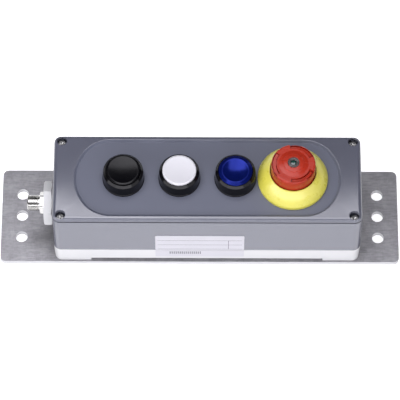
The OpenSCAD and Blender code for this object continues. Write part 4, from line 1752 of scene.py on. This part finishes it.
    def pins(self) -> bpy.types.Object:
        """Makes the contact pins with rounded tips.

        Returns:
            The pins as one piece.
        """
        low, high = mm_box("connector_pins")
        maker = MeshMaker("connector_pin_set")
        length = high.x - low.x
        side = self.pin_radius
        outline = rounded(
            [
                (0.0, 0.0, 0.0),
                (side, 0.0, self.pin_edge),
                (side, length, side * self.pin_tip),
                (0.0, length, 0.0),
            ],
            closed=False,
        )
        base = outward_left(high.x, self.y, self.z)
        maker.turned(outline, base, self.pin_steps)
        for k in range(self.pin_count):
            angle = FULL_TURN * (k + 0.5) / self.pin_count
            spot = Matrix.Translation(
                (self.pin_circle * math.cos(angle), self.pin_circle * math.sin(angle), 0)
            )
            maker.turned(outline, base @ spot, self.pin_steps)
        return maker.finish()


@dataclass(frozen=True)
class CapShape:
    """A cap's top: radius and depth of its dish, drop of its shoulder and width of its crest."""

    dish_radius: float
    dish_depth: float
    shoulder: float
    crest: float


class CapForm(Enum):
    """The two kinds of cap: the dished caps, and the deeper dished lens."""

    SHALLOW = CapShape(10.8, 0.6, 0.42, 0.25)
    DEEP = CapShape(9.2, 1.6, 1.2, 0.5)


@dataclass
class Pushbutton:
    """One pushbutton: bezel, cap or lens, seal, plunger, spring and contact."""

    colour: str
    cap_node: str
    form: CapForm
    cap_slot: Slot
    foot_height: float = 1.4
    foot_step: float = 0.25
    top_radius: float = 14.3
    rim_drop: float = 1.8
    rim_in: float = 0.3
    bore_radius: float = 12.45
    cup_floor: float = 2.4
    guide_radius: float = 8.5
    guide_top: float = -10.0
    web: float = 2.0
    stem_bore: float = 4.58
    neck_radius: float = 11.0
    neck_length: float = 14.0
    cap_radius: float = 12.1
    cap_height: float = 6.4
    cap_wall: float = 1.5
    crest_round: float = 0.8
    crown_rings: int = 20
    lead_in: float = 0.2
    lead_depth: float = 0.3
    turn_steps: int = 144
    travel: float = 4.0
    foot_radius: float = field(init=False)
    height: float = field(init=False)
    cap_top: float = field(init=False)
    place: Matrix = field(init=False)

    @property
    def body(self) -> str:
        """Name of the body that moves."""
        return f"{self.colour}_button"

    def build(self, shop: Workshop) -> None:
        """Builds and dresses the pushbutton.

        Args:
            shop: The frame's nodes and the palette.
        """
        low, high = mm_box(f"{self.colour}_bezel")
        self.foot_radius = (high.x - low.x) / 2
        panel = mm_box(f"{self.colour}_gasket")[0].z
        self.height = high.z - panel
        self.place = upright((low.x + high.x) / 2, (low.y + high.y) / 2, panel)
        self.cap_top = mm_box(self.cap_node)[1].z - panel
        shop.seat(self.bezel(), f"{self.colour}_bezel", HOUSING, Slot.BLACK)
        shop.seat(self.cap(), self.cap_node, self.body, self.cap_slot)
        spring = Spring(f"{self.colour}_spring", f"{self.colour}_press", self.travel)
        spring.build(shop)
        shop.keep(Slot.SEAL, f"{self.colour}_gasket")
        shop.keep(Slot.INNER, f"{self.colour}_plunger")
        shop.keep(Slot.BLOCK, f"{self.colour}_contact_block", f"{self.colour}_contact_plunger")

    def bezel(self) -> bpy.types.Object:
        """Makes the bezel with its neck, as one turned moulding.

        Returns:
            The bezel.
        """
        top = self.height
        outline = rounded(
            [
                (self.neck_radius, 0.0, 0.0),
                (self.foot_radius, 0.0, 0.15),
                (self.foot_radius, self.foot_height, 0.25),
                (self.foot_radius - self.foot_step, self.foot_height + self.foot_step, 0.2),
                (self.top_radius, top - self.rim_drop, 0.5),
                (self.top_radius - self.rim_in, top - self.rim_drop + self.rim_in, 0.5),
                (self.bore_radius + self.lead_in, top, 0.3),
                (self.bore_radius, top - self.lead_depth, 0.2),
                (self.bore_radius, self.cup_floor, 0.3),
                (self.guide_radius, self.cup_floor, 0.2),
                (self.guide_radius, self.guide_top, 0.0),
                (self.stem_bore, self.guide_top, 0.0),
                (self.stem_bore, self.guide_top - self.web, 0.0),
                (self.guide_radius, self.guide_top - self.web, 0.0),
                (self.guide_radius, -self.neck_length, 0.0),
                (self.neck_radius, -self.neck_length, 0.4),
            ]
        )
        maker = MeshMaker(f"{self.colour}_bezel_ring")
        maker.turned(outline, self.place, self.turn_steps, closed=True)
        return maker.finish()

    def cap(self) -> bpy.types.Object:
        """Makes the cap with its dished top and its skirt.

        Returns:
            The cap.
        """
        shape = self.form.value
        top = self.cap_top
        foot = top - self.cap_height
        outer = self.cap_radius
        inner = outer - self.cap_wall
        under = top - self.cap_wall - shape.dish_depth
        outline = rounded(
            [
                (0.0, under, 0.0),
                (inner, under, 0.3),
                (inner, foot, 0.0),
                (outer, foot, 0.2),
                (outer, top - shape.shoulder, 0.4),
                (shape.dish_radius + shape.crest, top, self.crest_round),
                (shape.dish_radius, top, 0.0),
            ],
            arc_steps=5,
            closed=False,
        )
        maker = MeshMaker(f"{self.colour}_button_cap")
        maker.turned(outline + self.crown(top)[1:], self.place, self.turn_steps)
        return maker.finish()

    def crown(self, top: float) -> list[Point]:
        """Gives the top face's outline, from its edge to the middle.

        Args:
            top: Height of the cap's top edge.

        Returns:
            Radius and height of each point.
        """
        edge, depth = self.form.value.dish_radius, self.form.value.dish_depth
        ball = (edge * edge + depth * depth) / (2 * depth)
        points = []
        for k in range(self.crown_rings + 1):
            radius = edge * (1 - k / self.crown_rings)
            drop = math.sqrt(ball * ball - radius * radius) - (ball - depth)
            points.append((radius, top - drop))
        return points


@dataclass
class Spring:
    """A wound return spring."""

    node: str
    joint: str
    travel: float
    wire: float = 1.0
    sides: int = 10
    steps: int = 28
    long_rise: float = 14.0
    long_turns: int = 6
    short_turns: int = 4

    def build(self, shop: Workshop) -> None:
        """Builds the spring, seats it on the housing and gives it a mesh of its own.

        Args:
            shop: The frame's nodes and the palette.
        """
        low, high = mm_box(self.node)
        middle = (low + high) / 2
        radius = (high.x - low.x) / 2 - self.wire / 2
        rise = high.z - low.z - self.wire
        turns = self.long_turns if rise > self.long_rise else self.short_turns
        maker = MeshMaker(f"{self.node}_wire")
        rings = []
        for k in range(turns * self.steps + 1):
            angle = FULL_TURN * k / self.steps
            height = low.z + self.wire / 2 + rise * k / (turns * self.steps)
            points = []
            for n in range(self.sides):
                around = FULL_TURN * n / self.sides
                reach = radius + self.wire / 2 * math.cos(around)
                points.append(
                    Vector(
                        (
                            middle.x + reach * math.cos(angle),
                            middle.y + reach * math.sin(angle),
                            height + self.wire / 2 * math.sin(around),
                        )
                    )
                )
            rings.append(maker.ring(points))
        for one, other in zip(rings, rings[1:]):
            maker.bridge(one, other)
        maker.faces.append(tuple(reversed(rings[0])))
        maker.faces.append(tuple(rings[-1]))
        piece = maker.finish(crease=60.0, weighted=False)
        shop.seat(piece, self.node, HOUSING, Slot.SPRING)
        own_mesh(piece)


@dataclass
class StopButton:
    """The stop button: collar, turning head with arrow grooves, lens and works."""

    collar_height: float = 13.0
    collar_rim: float = 2.6
    collar_floor: float = 2.2
    collar_bore: float = 16.6
    collar_wall: float = 0.7
    bulge_share: float = 0.13
    rim_round: float = 0.6
    mouth_round: float = 0.25
    neck_radius: float = 11.06
    lip_top: float = 23.0
    lip_round: float = 1.2
    lean: float = 0.3
    skirt_bottom: float = 8.0
    skirt_wall: float = 2.0
    roof: float = 3.8
    hub_roof: float = 2.8
    hub_radius: float = 7.0
    hub_bottom: float = 10.0
    hub_bore: float = 5.08
    ridge_radius: float = 7.4
    ridge_height: float = 0.5
    seat_radius: float = 4.16
    seat_depth: float = 1.5
    groove_outer: float = 15.1
    groove_width: float = 3.0
    groove_length: float = 76.0
    groove_starts: tuple[float, ...] = (263.0, 143.0, 23.0)
    groove_tail: float = 0.6
    groove_deep: float = 2.1
    groove_line: float = 0.45
    line_sink: float = 1.5
    open_share: float = 0.6
    groove_wall: float = 0.1
    lens_radius: float = 2.0
    lens_gap: float = 0.06
    lens_sag: float = 0.3
    lens_steps: int = 12
    ring_steps: int = 14
    crest: float = 0.6
    ridge_step: float = 0.25
    valley: float = 1.6
    skirt_start: float = 0.6
    cone_steps: int = 20
    collar_steps: int = 192
    head_steps: int = 540
    face_length: float = 0.3
    travel: float = 4.0
    radius: float = field(init=False)
    head_top: float = field(init=False)
    collar_radius: float = field(init=False)
    place: Matrix = field(init=False)

    def build(self, shop: Workshop) -> None:
        """Builds and dresses the stop button.

        Args:
            shop: The frame's nodes and the palette.
        """
        low, high = mm_box("stop_head")
        foot, rim = mm_box("stop_collar")
        self.radius = (high.x - low.x) / 2
        self.head_top = high.z - foot.z
        self.collar_radius = (rim.x - foot.x) / 2
        self.place = upright((low.x + high.x) / 2, (low.y + high.y) / 2, foot.z)
        shop.seat(self.collar(), "stop_collar", HOUSING, Slot.YELLOW)
        shop.seat(self.head(), "stop_head", "stop_knob", Slot.RED)
        shop.seat(self.lens(), "stop_lens", "stop_knob", Slot.GREEN)
        shop.seat(self.lens_ring(), "stop_lens_ring", "stop_knob", Slot.GREY)
        Spring("stop_spring", "stop_press", self.travel).build(shop)
        shop.keep(Slot.SEAL, "stop_gasket")
        shop.keep(Slot.INNER, "stop_body", "stop_stem")
        shop.keep(Slot.BLOCK, "stop_contact_blocks", "stop_contact_plungers")

    def collar(self) -> bpy.types.Object:
        """Makes the yellow collar: an upright rim and a rounded cone.

        Returns:
            The collar.
        """
        foot = self.collar_radius
        mouth = self.collar_bore + self.collar_wall
        rise = self.collar_height - self.collar_rim
        run = foot - mouth
        bulge = self.bulge_share * run
        cone = []
        for k in range(self.cone_steps + 1):
            share = k / self.cone_steps
            out = bulge * math.sin(math.pi * share)
            cone.append(
                (
                    foot - run * share + out * rise / (run + rise),
                    self.collar_rim + rise * share + out * run / (run + rise),
                    0.0,
                )
            )
        cone[0] = (*cone[0][:2], self.rim_round)
        cone[-1] = (*cone[-1][:2], self.mouth_round)
        outline = rounded(
            [(self.neck_radius, 0.0, 0.0), (foot, 0.0, 0.3)]
            + cone
            + [
                (self.collar_bore, self.collar_height, self.mouth_round),
                (self.collar_bore, self.collar_floor, 0.0),
                (self.neck_radius, self.collar_floor, 0.0),
            ]
        )
        maker = MeshMaker("stop_collar_cone")
        maker.turned(outline, self.place, self.collar_steps, closed=True)
        return maker.finish()

    def grooved(self, radius: float, height: float, angle: float) -> float:
        """Sinks the three ramped arrow grooves into the head's top.

        Args:
            radius: Distance from the head's axis.
            height: Height of the plain head there.
            angle: Angle about the axis.

        Returns:
            The height with the grooves in it.
        """
        if height < self.lip_top - self.groove_deep - self.line_sink:
            return height
        inner = self.groove_outer - self.groove_width
        if radius < inner + TINY:
            return height
        for start in self.groove_starts:
            along = (math.degrees(angle) - start) % 360
            share = along / self.groove_length
            if share > 1 or (radius > self.groove_outer - TINY and share < self.open_share):
                continue
            sink = self.groove_tail + (self.groove_deep - self.groove_tail) * share
            ends = math.radians(min(along, self.groove_length - along)) * radius
            sides = min(radius - inner, abs(self.groove_outer - radius))
            if min(ends, sides) < self.groove_line:
                sink += self.line_sink
            return min(height, self.lip_top - sink)
        return height

    def head(self) -> bpy.types.Object:
        """Makes the red head with its lip, grooves, raised middle, skirt and hub.

        Returns:
            The head.
        """
        r = self.radius
        groove_in = self.groove_outer - self.groove_width
        under = self.lip_top - self.roof
        top = rounded(
            [
                (self.seat_radius, self.head_top - self.seat_depth, 0.0),
                (self.seat_radius, self.head_top, 0.15),
                (self.seat_radius + self.crest, self.head_top, 0.4),
                (self.ridge_radius, self.head_top - self.ridge_height, 0.6),
                (self.ridge_radius + self.ridge_step, self.head_top - 2 * self.ridge_height, 0.2),
                (groove_in - self.valley, self.lip_top, 0.8),
                (r - self.lean, self.lip_top, self.lip_round),
                (r, self.collar_height + self.skirt_start, 0.3),
                (r, self.skirt_bottom, 0.3),
                (r - self.skirt_wall, self.skirt_bottom, 0.3),
            ],
            arc_steps=6,
            closed=False,
        )
        below = [
            (r - self.skirt_wall, under),
            (self.hub_radius, under),
            (self.hub_radius, self.hub_bottom),
            (self.hub_bore, self.hub_bottom),
            (self.hub_bore, self.lip_top - self.hub_roof),
            (0.0, self.lip_top - self.hub_roof),
        ]
        seat = [(0.0, self.head_top - self.seat_depth)]
        outer, line, wall = self.groove_outer, self.groove_line, self.groove_wall
        edges = (groove_in, groove_in + wall, groove_in + line, groove_in + line + wall)
        edges += (outer - line - wall, outer - line, outer - wall, outer)
        face = divided(seat + top, self.face_length)
        outline = with_radii(face, edges, self.lip_top - self.lip_round)
        maker = MeshMaker("stop_head_cap")
        maker.turned(outline + below, self.place, self.head_steps, self.grooved)
        return maker.finish(crease=50.0)

    def lens_ring(self) -> bpy.types.Object:
        """Makes the grey ring round the lens, arched on top.

        Returns:
            The ring.
        """
        low, high = mm_box("stop_lens_ring")
        outer = (high.x - low.x) / 2
        foot = low.z - self.place.translation.z
        top = high.z - self.place.translation.z
        inner = self.lens_radius + self.lens_gap
        edge = foot + self.seat_depth
        shares = [k / self.ring_steps for k in range(self.ring_steps + 1)]
        arch = [
            (outer + (inner - outer) * share, edge + (top - edge) * math.sin(math.pi * share))
            for share in shares
        ]
        maker = MeshMaker("stop_lens_bezel")
        maker.turned([(inner, foot), (outer, foot)] + arch, self.place, closed=True)
        return maker.finish()

    def lens(self) -> bpy.types.Object:
        """Makes the small domed lens.

        Returns:
            The lens.
        """
        low, high = mm_box("stop_lens")
        foot = low.z - self.place.translation.z
        top = high.z - self.place.translation.z
        sag = self.lens_sag
        angles = [math.pi / 2 * k / self.lens_steps for k in range(self.lens_steps)]
        dome = [(self.lens_radius * math.cos(a), top - sag + sag * math.sin(a)) for a in angles]
        outline = [(0.0, foot), (self.lens_radius, foot), *dome, (0.0, top)]
        maker = MeshMaker("stop_lens_dome")
        maker.turned(outline, self.place, BORE_STEPS)
        return maker.finish()


@dataclass
class InnerWorks:
    """Pieces shared by the stations inside the enclosure."""

    def build(self, shop: Workshop) -> None:
        """Dresses the nuts, holders, lamp block and terminal screws.

        Args:
            shop: The frame's nodes and the palette.
        """
        shop.keep(Slot.INNER, "ring_nuts", "contact_holders")
        shop.keep(Slot.BLOCK, "blue_lamp_block")
        shop.keep(Slot.ZINC, "terminal_screws")


@dataclass(frozen=True)
class Softbox:
    """A square studio lamp aimed at a point."""

    name: str
    at: Corner
    size: Point
    power: float
    colour: Colour = (0.985, 0.975, 1.04)
    aim: Corner = (0.0, 0.0, 0.04)

    def build(self) -> None:
        """Hangs the lamp."""
        lamp = bpy.data.lights.new(self.name, "AREA")
        lamp.shape = "RECTANGLE"
        lamp.size, lamp.size_y = self.size
        lamp.energy = self.power
        lamp.color = self.colour
        holder = bpy.data.objects.new(self.name, lamp)
        bpy.context.scene.collection.objects.link(holder)
        holder.location = self.at
        towards = Vector(self.aim) - Vector(self.at)
        holder.rotation_euler = towards.to_track_quat("-Z", "Y").to_euler()
        holder.visible_camera = False


@dataclass
class Studio:
    """Camera, floor, world and lamps."""

    elevation: float = 62.0
    distance: float = 2.2
    target: Corner = (0.000097, -0.005834, 0.04)
    roll: float = 0.2
    focal_pixels: float = 3049.19
    frame_pixels: float = 400.0
    sensor: float = 36.0
    floor_size: float = 8.0
    floor_colour: Colour = (0.86, 0.86, 0.86)
    floor_glow: float = 0.7
    fill: float = 0.1
    overhead: float = 0.06
    horizon: float = 0.06
    clip: Point = (0.05, 50.0)
    softboxes: tuple[Softbox, ...] = field(
        default_factory=lambda: (
            Softbox("key_box", (-0.035, 0.025, 0.62), (0.49, 0.5), 2.5, aim=(-0.035, 0.025, 0.0)),
            Softbox("key_left", (-0.165, 0.025, 0.615), (0.27, 0.5), 0.4, aim=(-0.165, 0.025, 0.0)),
            Softbox("top_box", (0.0, -0.5, 1.15), (0.8, 0.5), 0.8),
            Softbox("front_box", (0.0, -1.46, 0.66), (2.2, 0.62), 19.0),
            Softbox("left_box", (-1.3, -0.8, 0.64), (1.1, 0.8), 10.0),
            Softbox("right_box", (1.3, -0.8, 0.64), (1.1, 0.8), 4.3),
            Softbox("back_box", (0.95, 1.0, 0.34), (0.5, 0.32), 1.1),
        )
    )

    def build(self) -> None:
        """Sets up the whole studio."""
        bpy.context.scene.view_settings.view_transform = "Standard"
        self.camera()
        self.floor()
        self.world()
        for box in self.softboxes:
            box.build()
        LOG.info("studio is set")

    def camera(self) -> None:
        """Places the camera where the photograph was taken from."""
        data = bpy.data.cameras.new("view")
        data.sensor_width = self.sensor
        data.lens = self.focal_pixels * self.sensor / self.frame_pixels
        data.clip_start, data.clip_end = self.clip
        camera = bpy.data.objects.new("view", data)
        bpy.context.scene.collection.objects.link(camera)
        tilt = math.radians(self.elevation)
        forward = Vector((0.0, math.cos(tilt), -math.sin(tilt)))
        side = Vector((1.0, 0.0, 0.0))
        up = Vector((0.0, math.sin(tilt), math.cos(tilt)))
        turn = math.radians(self.roll)
        right = side * math.cos(turn) + up * math.sin(turn)
        top = up * math.cos(turn) - side * math.sin(turn)
        spot = Vector(self.target) - forward * self.distance
        turned = Matrix((right, top, -forward)).transposed().to_4x4()
        camera.matrix_world = Matrix.Translation(spot) @ turned
        bpy.context.scene.camera = camera

    @staticmethod
    def shown_rays(tree: bpy.types.NodeTree) -> bpy.types.NodeSocket:
        """Gives 1 for camera, glossy and transmission rays, else 0.

        Args:
            tree: The node tree that it is for.

        Returns:
            The socket with that value.
        """
        path = tree.nodes.new("ShaderNodeLightPath")
        result = path.outputs["Is Camera Ray"]
        for name in ("Is Glossy Ray", "Is Transmission Ray"):
            either = tree.nodes.new("ShaderNodeMath")
            either.operation = "MAXIMUM"
            tree.links.new(result, either.inputs[0])
            tree.links.new(path.outputs[name], either.inputs[1])
            result = either.outputs[0]
        return result

    def floor(self) -> None:
        """Lays the pale floor, which shows white where the lamps reach it."""
        half = self.floor_size / 2
        mesh = bpy.data.meshes.new("floor")
        mesh.from_pydata(
            [(-half, -half, 0), (half, -half, 0), (half, half, 0), (-half, half, 0)],
            [],
            [(0, 1, 2, 3)],
        )
        floor = bpy.data.objects.new("floor", mesh)
        bpy.context.scene.collection.objects.link(floor)
        material = bpy.data.materials.new("studio_floor")
        material.use_nodes = True
        tree = material.node_tree
        tree.nodes.clear()
        output = tree.nodes.new("ShaderNodeOutputMaterial")
        matt = tree.nodes.new("ShaderNodeBsdfDiffuse")
        matt.inputs["Color"].default_value = (*self.floor_colour, 1.0)
        glow = tree.nodes.new("ShaderNodeEmission")
        shown = self.shown_rays(tree)
        strength = tree.nodes.new("ShaderNodeMath")
        strength.operation = "MULTIPLY"
        strength.inputs[1].default_value = self.floor_glow
        tree.links.new(shown, strength.inputs[0])
        tree.links.new(strength.outputs[0], glow.inputs["Strength"])
        both = tree.nodes.new("ShaderNodeAddShader")
        tree.links.new(matt.outputs[0], both.inputs[0])
        tree.links.new(glow.outputs[0], both.inputs[1])
        tree.links.new(both.outputs[0], output.inputs["Surface"])
        mesh.materials.append(material)

    def world(self) -> None:
        """Makes the world: white at the horizon, dimmer overhead, with an even fill."""
        world = bpy.data.worlds.new("studio")
        bpy.context.scene.world = world
        world.use_nodes = True
        tree = world.node_tree
        tree.nodes.clear()
        output = tree.nodes.new("ShaderNodeOutputWorld")
        back = tree.nodes.new("ShaderNodeBackground")
        place = tree.nodes.new("ShaderNodeTexCoord")
        parts = tree.nodes.new("ShaderNodeSeparateXYZ")
        tree.links.new(place.outputs["Generated"], parts.inputs[0])
        dim = tree.nodes.new("ShaderNodeMapRange")
        dim.inputs["From Min"].default_value = 0.0
        dim.inputs["From Max"].default_value = self.horizon
        dim.inputs["To Min"].default_value = 1.0
        dim.inputs["To Max"].default_value = self.overhead
        tree.links.new(parts.outputs["Z"], dim.inputs["Value"])
        shown = self.shown_rays(tree)
        choice = tree.nodes.new("ShaderNodeMix")
        choice.data_type = "FLOAT"
        choice.inputs[2].default_value = self.fill
        tree.links.new(shown, choice.inputs[0])
        tree.links.new(dim.outputs["Result"], choice.inputs[3])
        seen = tree.nodes.new("ShaderNodeMix")
        seen.data_type = "FLOAT"
        seen.inputs[3].default_value = 1.0
        path = tree.nodes.new("ShaderNodeLightPath")
        tree.links.new(path.outputs["Is Camera Ray"], seen.inputs[0])
        tree.links.new(choice.outputs[0], seen.inputs[2])
        tree.links.new(seen.outputs[0], back.inputs["Strength"])
        tree.links.new(back.outputs[0], output.inputs["Surface"])


@dataclass
class LabelPrint:
    """Ruled lines of the upper label and plain, evenly spaced bars of the lower one."""

    line: float = 0.42
    inset: float = 1.6
    row_shares: tuple[float, ...] = (0.06, 0.36, 0.66)
    divider_share: float = 0.82
    bar_share: float = 0.16
    bar_foot: float = 4.6
    bar_top: float = 8.6
    bar_pitch: float = 1.45
    bar_width: float = 0.8
    bar_count: int = 16

    def marks(self) -> tuple[Mark, ...]:
        """Gives the printed lines and bars.

        Returns:
            Their lowest and highest X and their lowest and highest Z, in millimetres.
        """
        low, high = mm_box("upper_label")
        foot = mm_box("lower_label")[0].z
        width = high.x - low.x
        rows = [low.z + (high.z - low.z) * share for share in self.row_shares]
        marks = [(low.x + self.inset, high.x - self.inset, z, z + self.line) for z in rows]
        divider = low.x + self.divider_share * width
        marks.append((divider, divider + self.line, rows[0], rows[-1]))
        for k in range(self.bar_count):
            left = low.x + self.bar_share * width + self.bar_pitch * k
            marks.append(
                (left, left + self.bar_width, foot + self.bar_foot, foot + self.bar_top)
            )
        return tuple(marks)


def fill_palette(palette: Palette) -> None:
    """Makes every finish of the control station.

    Args:
        palette: Where the finishes are kept.
    """
    low, high = mm_box("lid")
    panel = mm_box("black_gasket")[0].z
    line_top = high.z - LidCover.top_round
    half_length, half_width = LidCover.recess_length / 2, LidCover.recess_width / 2
    finishes: dict[Slot, Finish] = {
        Slot.STEEL: GalvanisedSheet(
            # The third colour, for the upright cut faces, is bare steel painted lighter as painted
            # light.
            "galvanised_sheet", (0.18, 0.178, 0.187), (0.41, 0.405, 0.42), (0.55, 0.55, 0.56)
        ),
        Slot.ZINC: PlatedMetal("zinc_plate", (0.38, 0.38, 0.37), roughness=0.34),
        Slot.PALE: Moulding("pale_moulding", (0.6, 0.603, 0.603), roughness=0.42, clouds=0.015),
        Slot.LID: LidPlastic(
            "lid_moulding",
            rim=(0.103, 0.108, 0.14),
            floor=(0.113, 0.122, 0.162),
            floor_top=panel + RECESS_STEP,
            middle=((low.x + high.x) / 2, (low.y + high.y) / 2),
            reach=(half_length + RECESS_MARGIN, half_width + RECESS_MARGIN),
            # line: the heights of the groove under the rounded edge, which is coloured as painted shade.
            line=(line_top - LidCover.line_height, line_top),
        ),
        Slot.SEAL: Rubber("seal_rubber", (0.02, 0.02, 0.02)),
        Slot.FILM: PrintedFilm(
            "label_film", (0.53, 0.525, 0.56), (0.04, 0.04, 0.055), LabelPrint().marks()
        ),
        Slot.NICKEL: PlatedMetal("nickel_plate", (0.6, 0.595, 0.58), roughness=0.13),
        Slot.BLACK: Moulding(
            "black_moulding",
            (0.0025, 0.0025, 0.0035),
            roughness=0.16,
            gloss_break=(0.03, 0.03),
            specular=0.2,
            fine=Grain(0.3, 2.0, 0.6),
            grain_depth=0.002,
        ),
        Slot.GOLD: PlatedMetal("gold_plate", (0.9, 0.66, 0.28), roughness=0.2),
        Slot.INNER: Moulding("inner_moulding", (0.03, 0.03, 0.033), roughness=0.5),
        Slot.SPRING: PlatedMetal("spring_wire", (0.62, 0.62, 0.62), roughness=0.28),
        Slot.BLOCK: Moulding("block_moulding", (0.5, 0.5, 0.48), roughness=0.5),
        Slot.WHITE: Moulding("white_moulding", (0.6, 0.597, 0.625), roughness=0.35, clouds=0.015),
        Slot.BLUE: ClearLens(
            "blue_lens",
            (0.005, 0.013, 0.155),
            (0.003, 0.009, 0.13),
            roughness=0.19,
            coat=0.0,
            metal=0.6,
            specular=0.2,
        ),
        Slot.YELLOW: Moulding(
            "yellow_moulding", (0.65, 0.6, 0.078), roughness=0.31, clouds=0.02, specular=1.0
        ),
        Slot.RED: Moulding(
            "red_moulding", (0.37, 0.026, 0.011), roughness=0.25, clouds=0.03, specular=0.28
        ),
        Slot.GREEN: ClearLens(
            "green_lens", (0.01, 0.06, 0.045), (0.006, 0.03, 0.025), roughness=0.1, coat=1.0
        ),
        Slot.GREY: Moulding("grey_moulding", (0.07, 0.058, 0.055), roughness=0.16),
    }
    for slot, finish in finishes.items():
        palette.add(slot, finish)
        LOG.info("finish %s is ready for %s", finish.name, slot.value)


def main() -> None:
    """Builds the dressed control station, piece by piece."""
    logging.basicConfig(level=logging.INFO, format="%(message)s")
    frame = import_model()
    Studio().build()
    palette = Palette()
    fill_palette(palette)
    shop = Workshop(frame["nodes"], palette)
    assemblies = (
        MountingPlate(),
        Enclosure(),
        Connector(),
        Pushbutton("black", "black_cap", CapForm.SHALLOW, Slot.BLACK),
        Pushbutton("white", "white_cap", CapForm.SHALLOW, Slot.WHITE),
        Pushbutton("blue", "blue_lens", CapForm.DEEP, Slot.BLUE),
        StopButton(),
        InnerWorks(),
    )
    for assembly in assemblies:
        assembly.build(shop)
        LOG.info("%s is built", type(assembly).__name__)


if __name__ == "__main__":
    main()
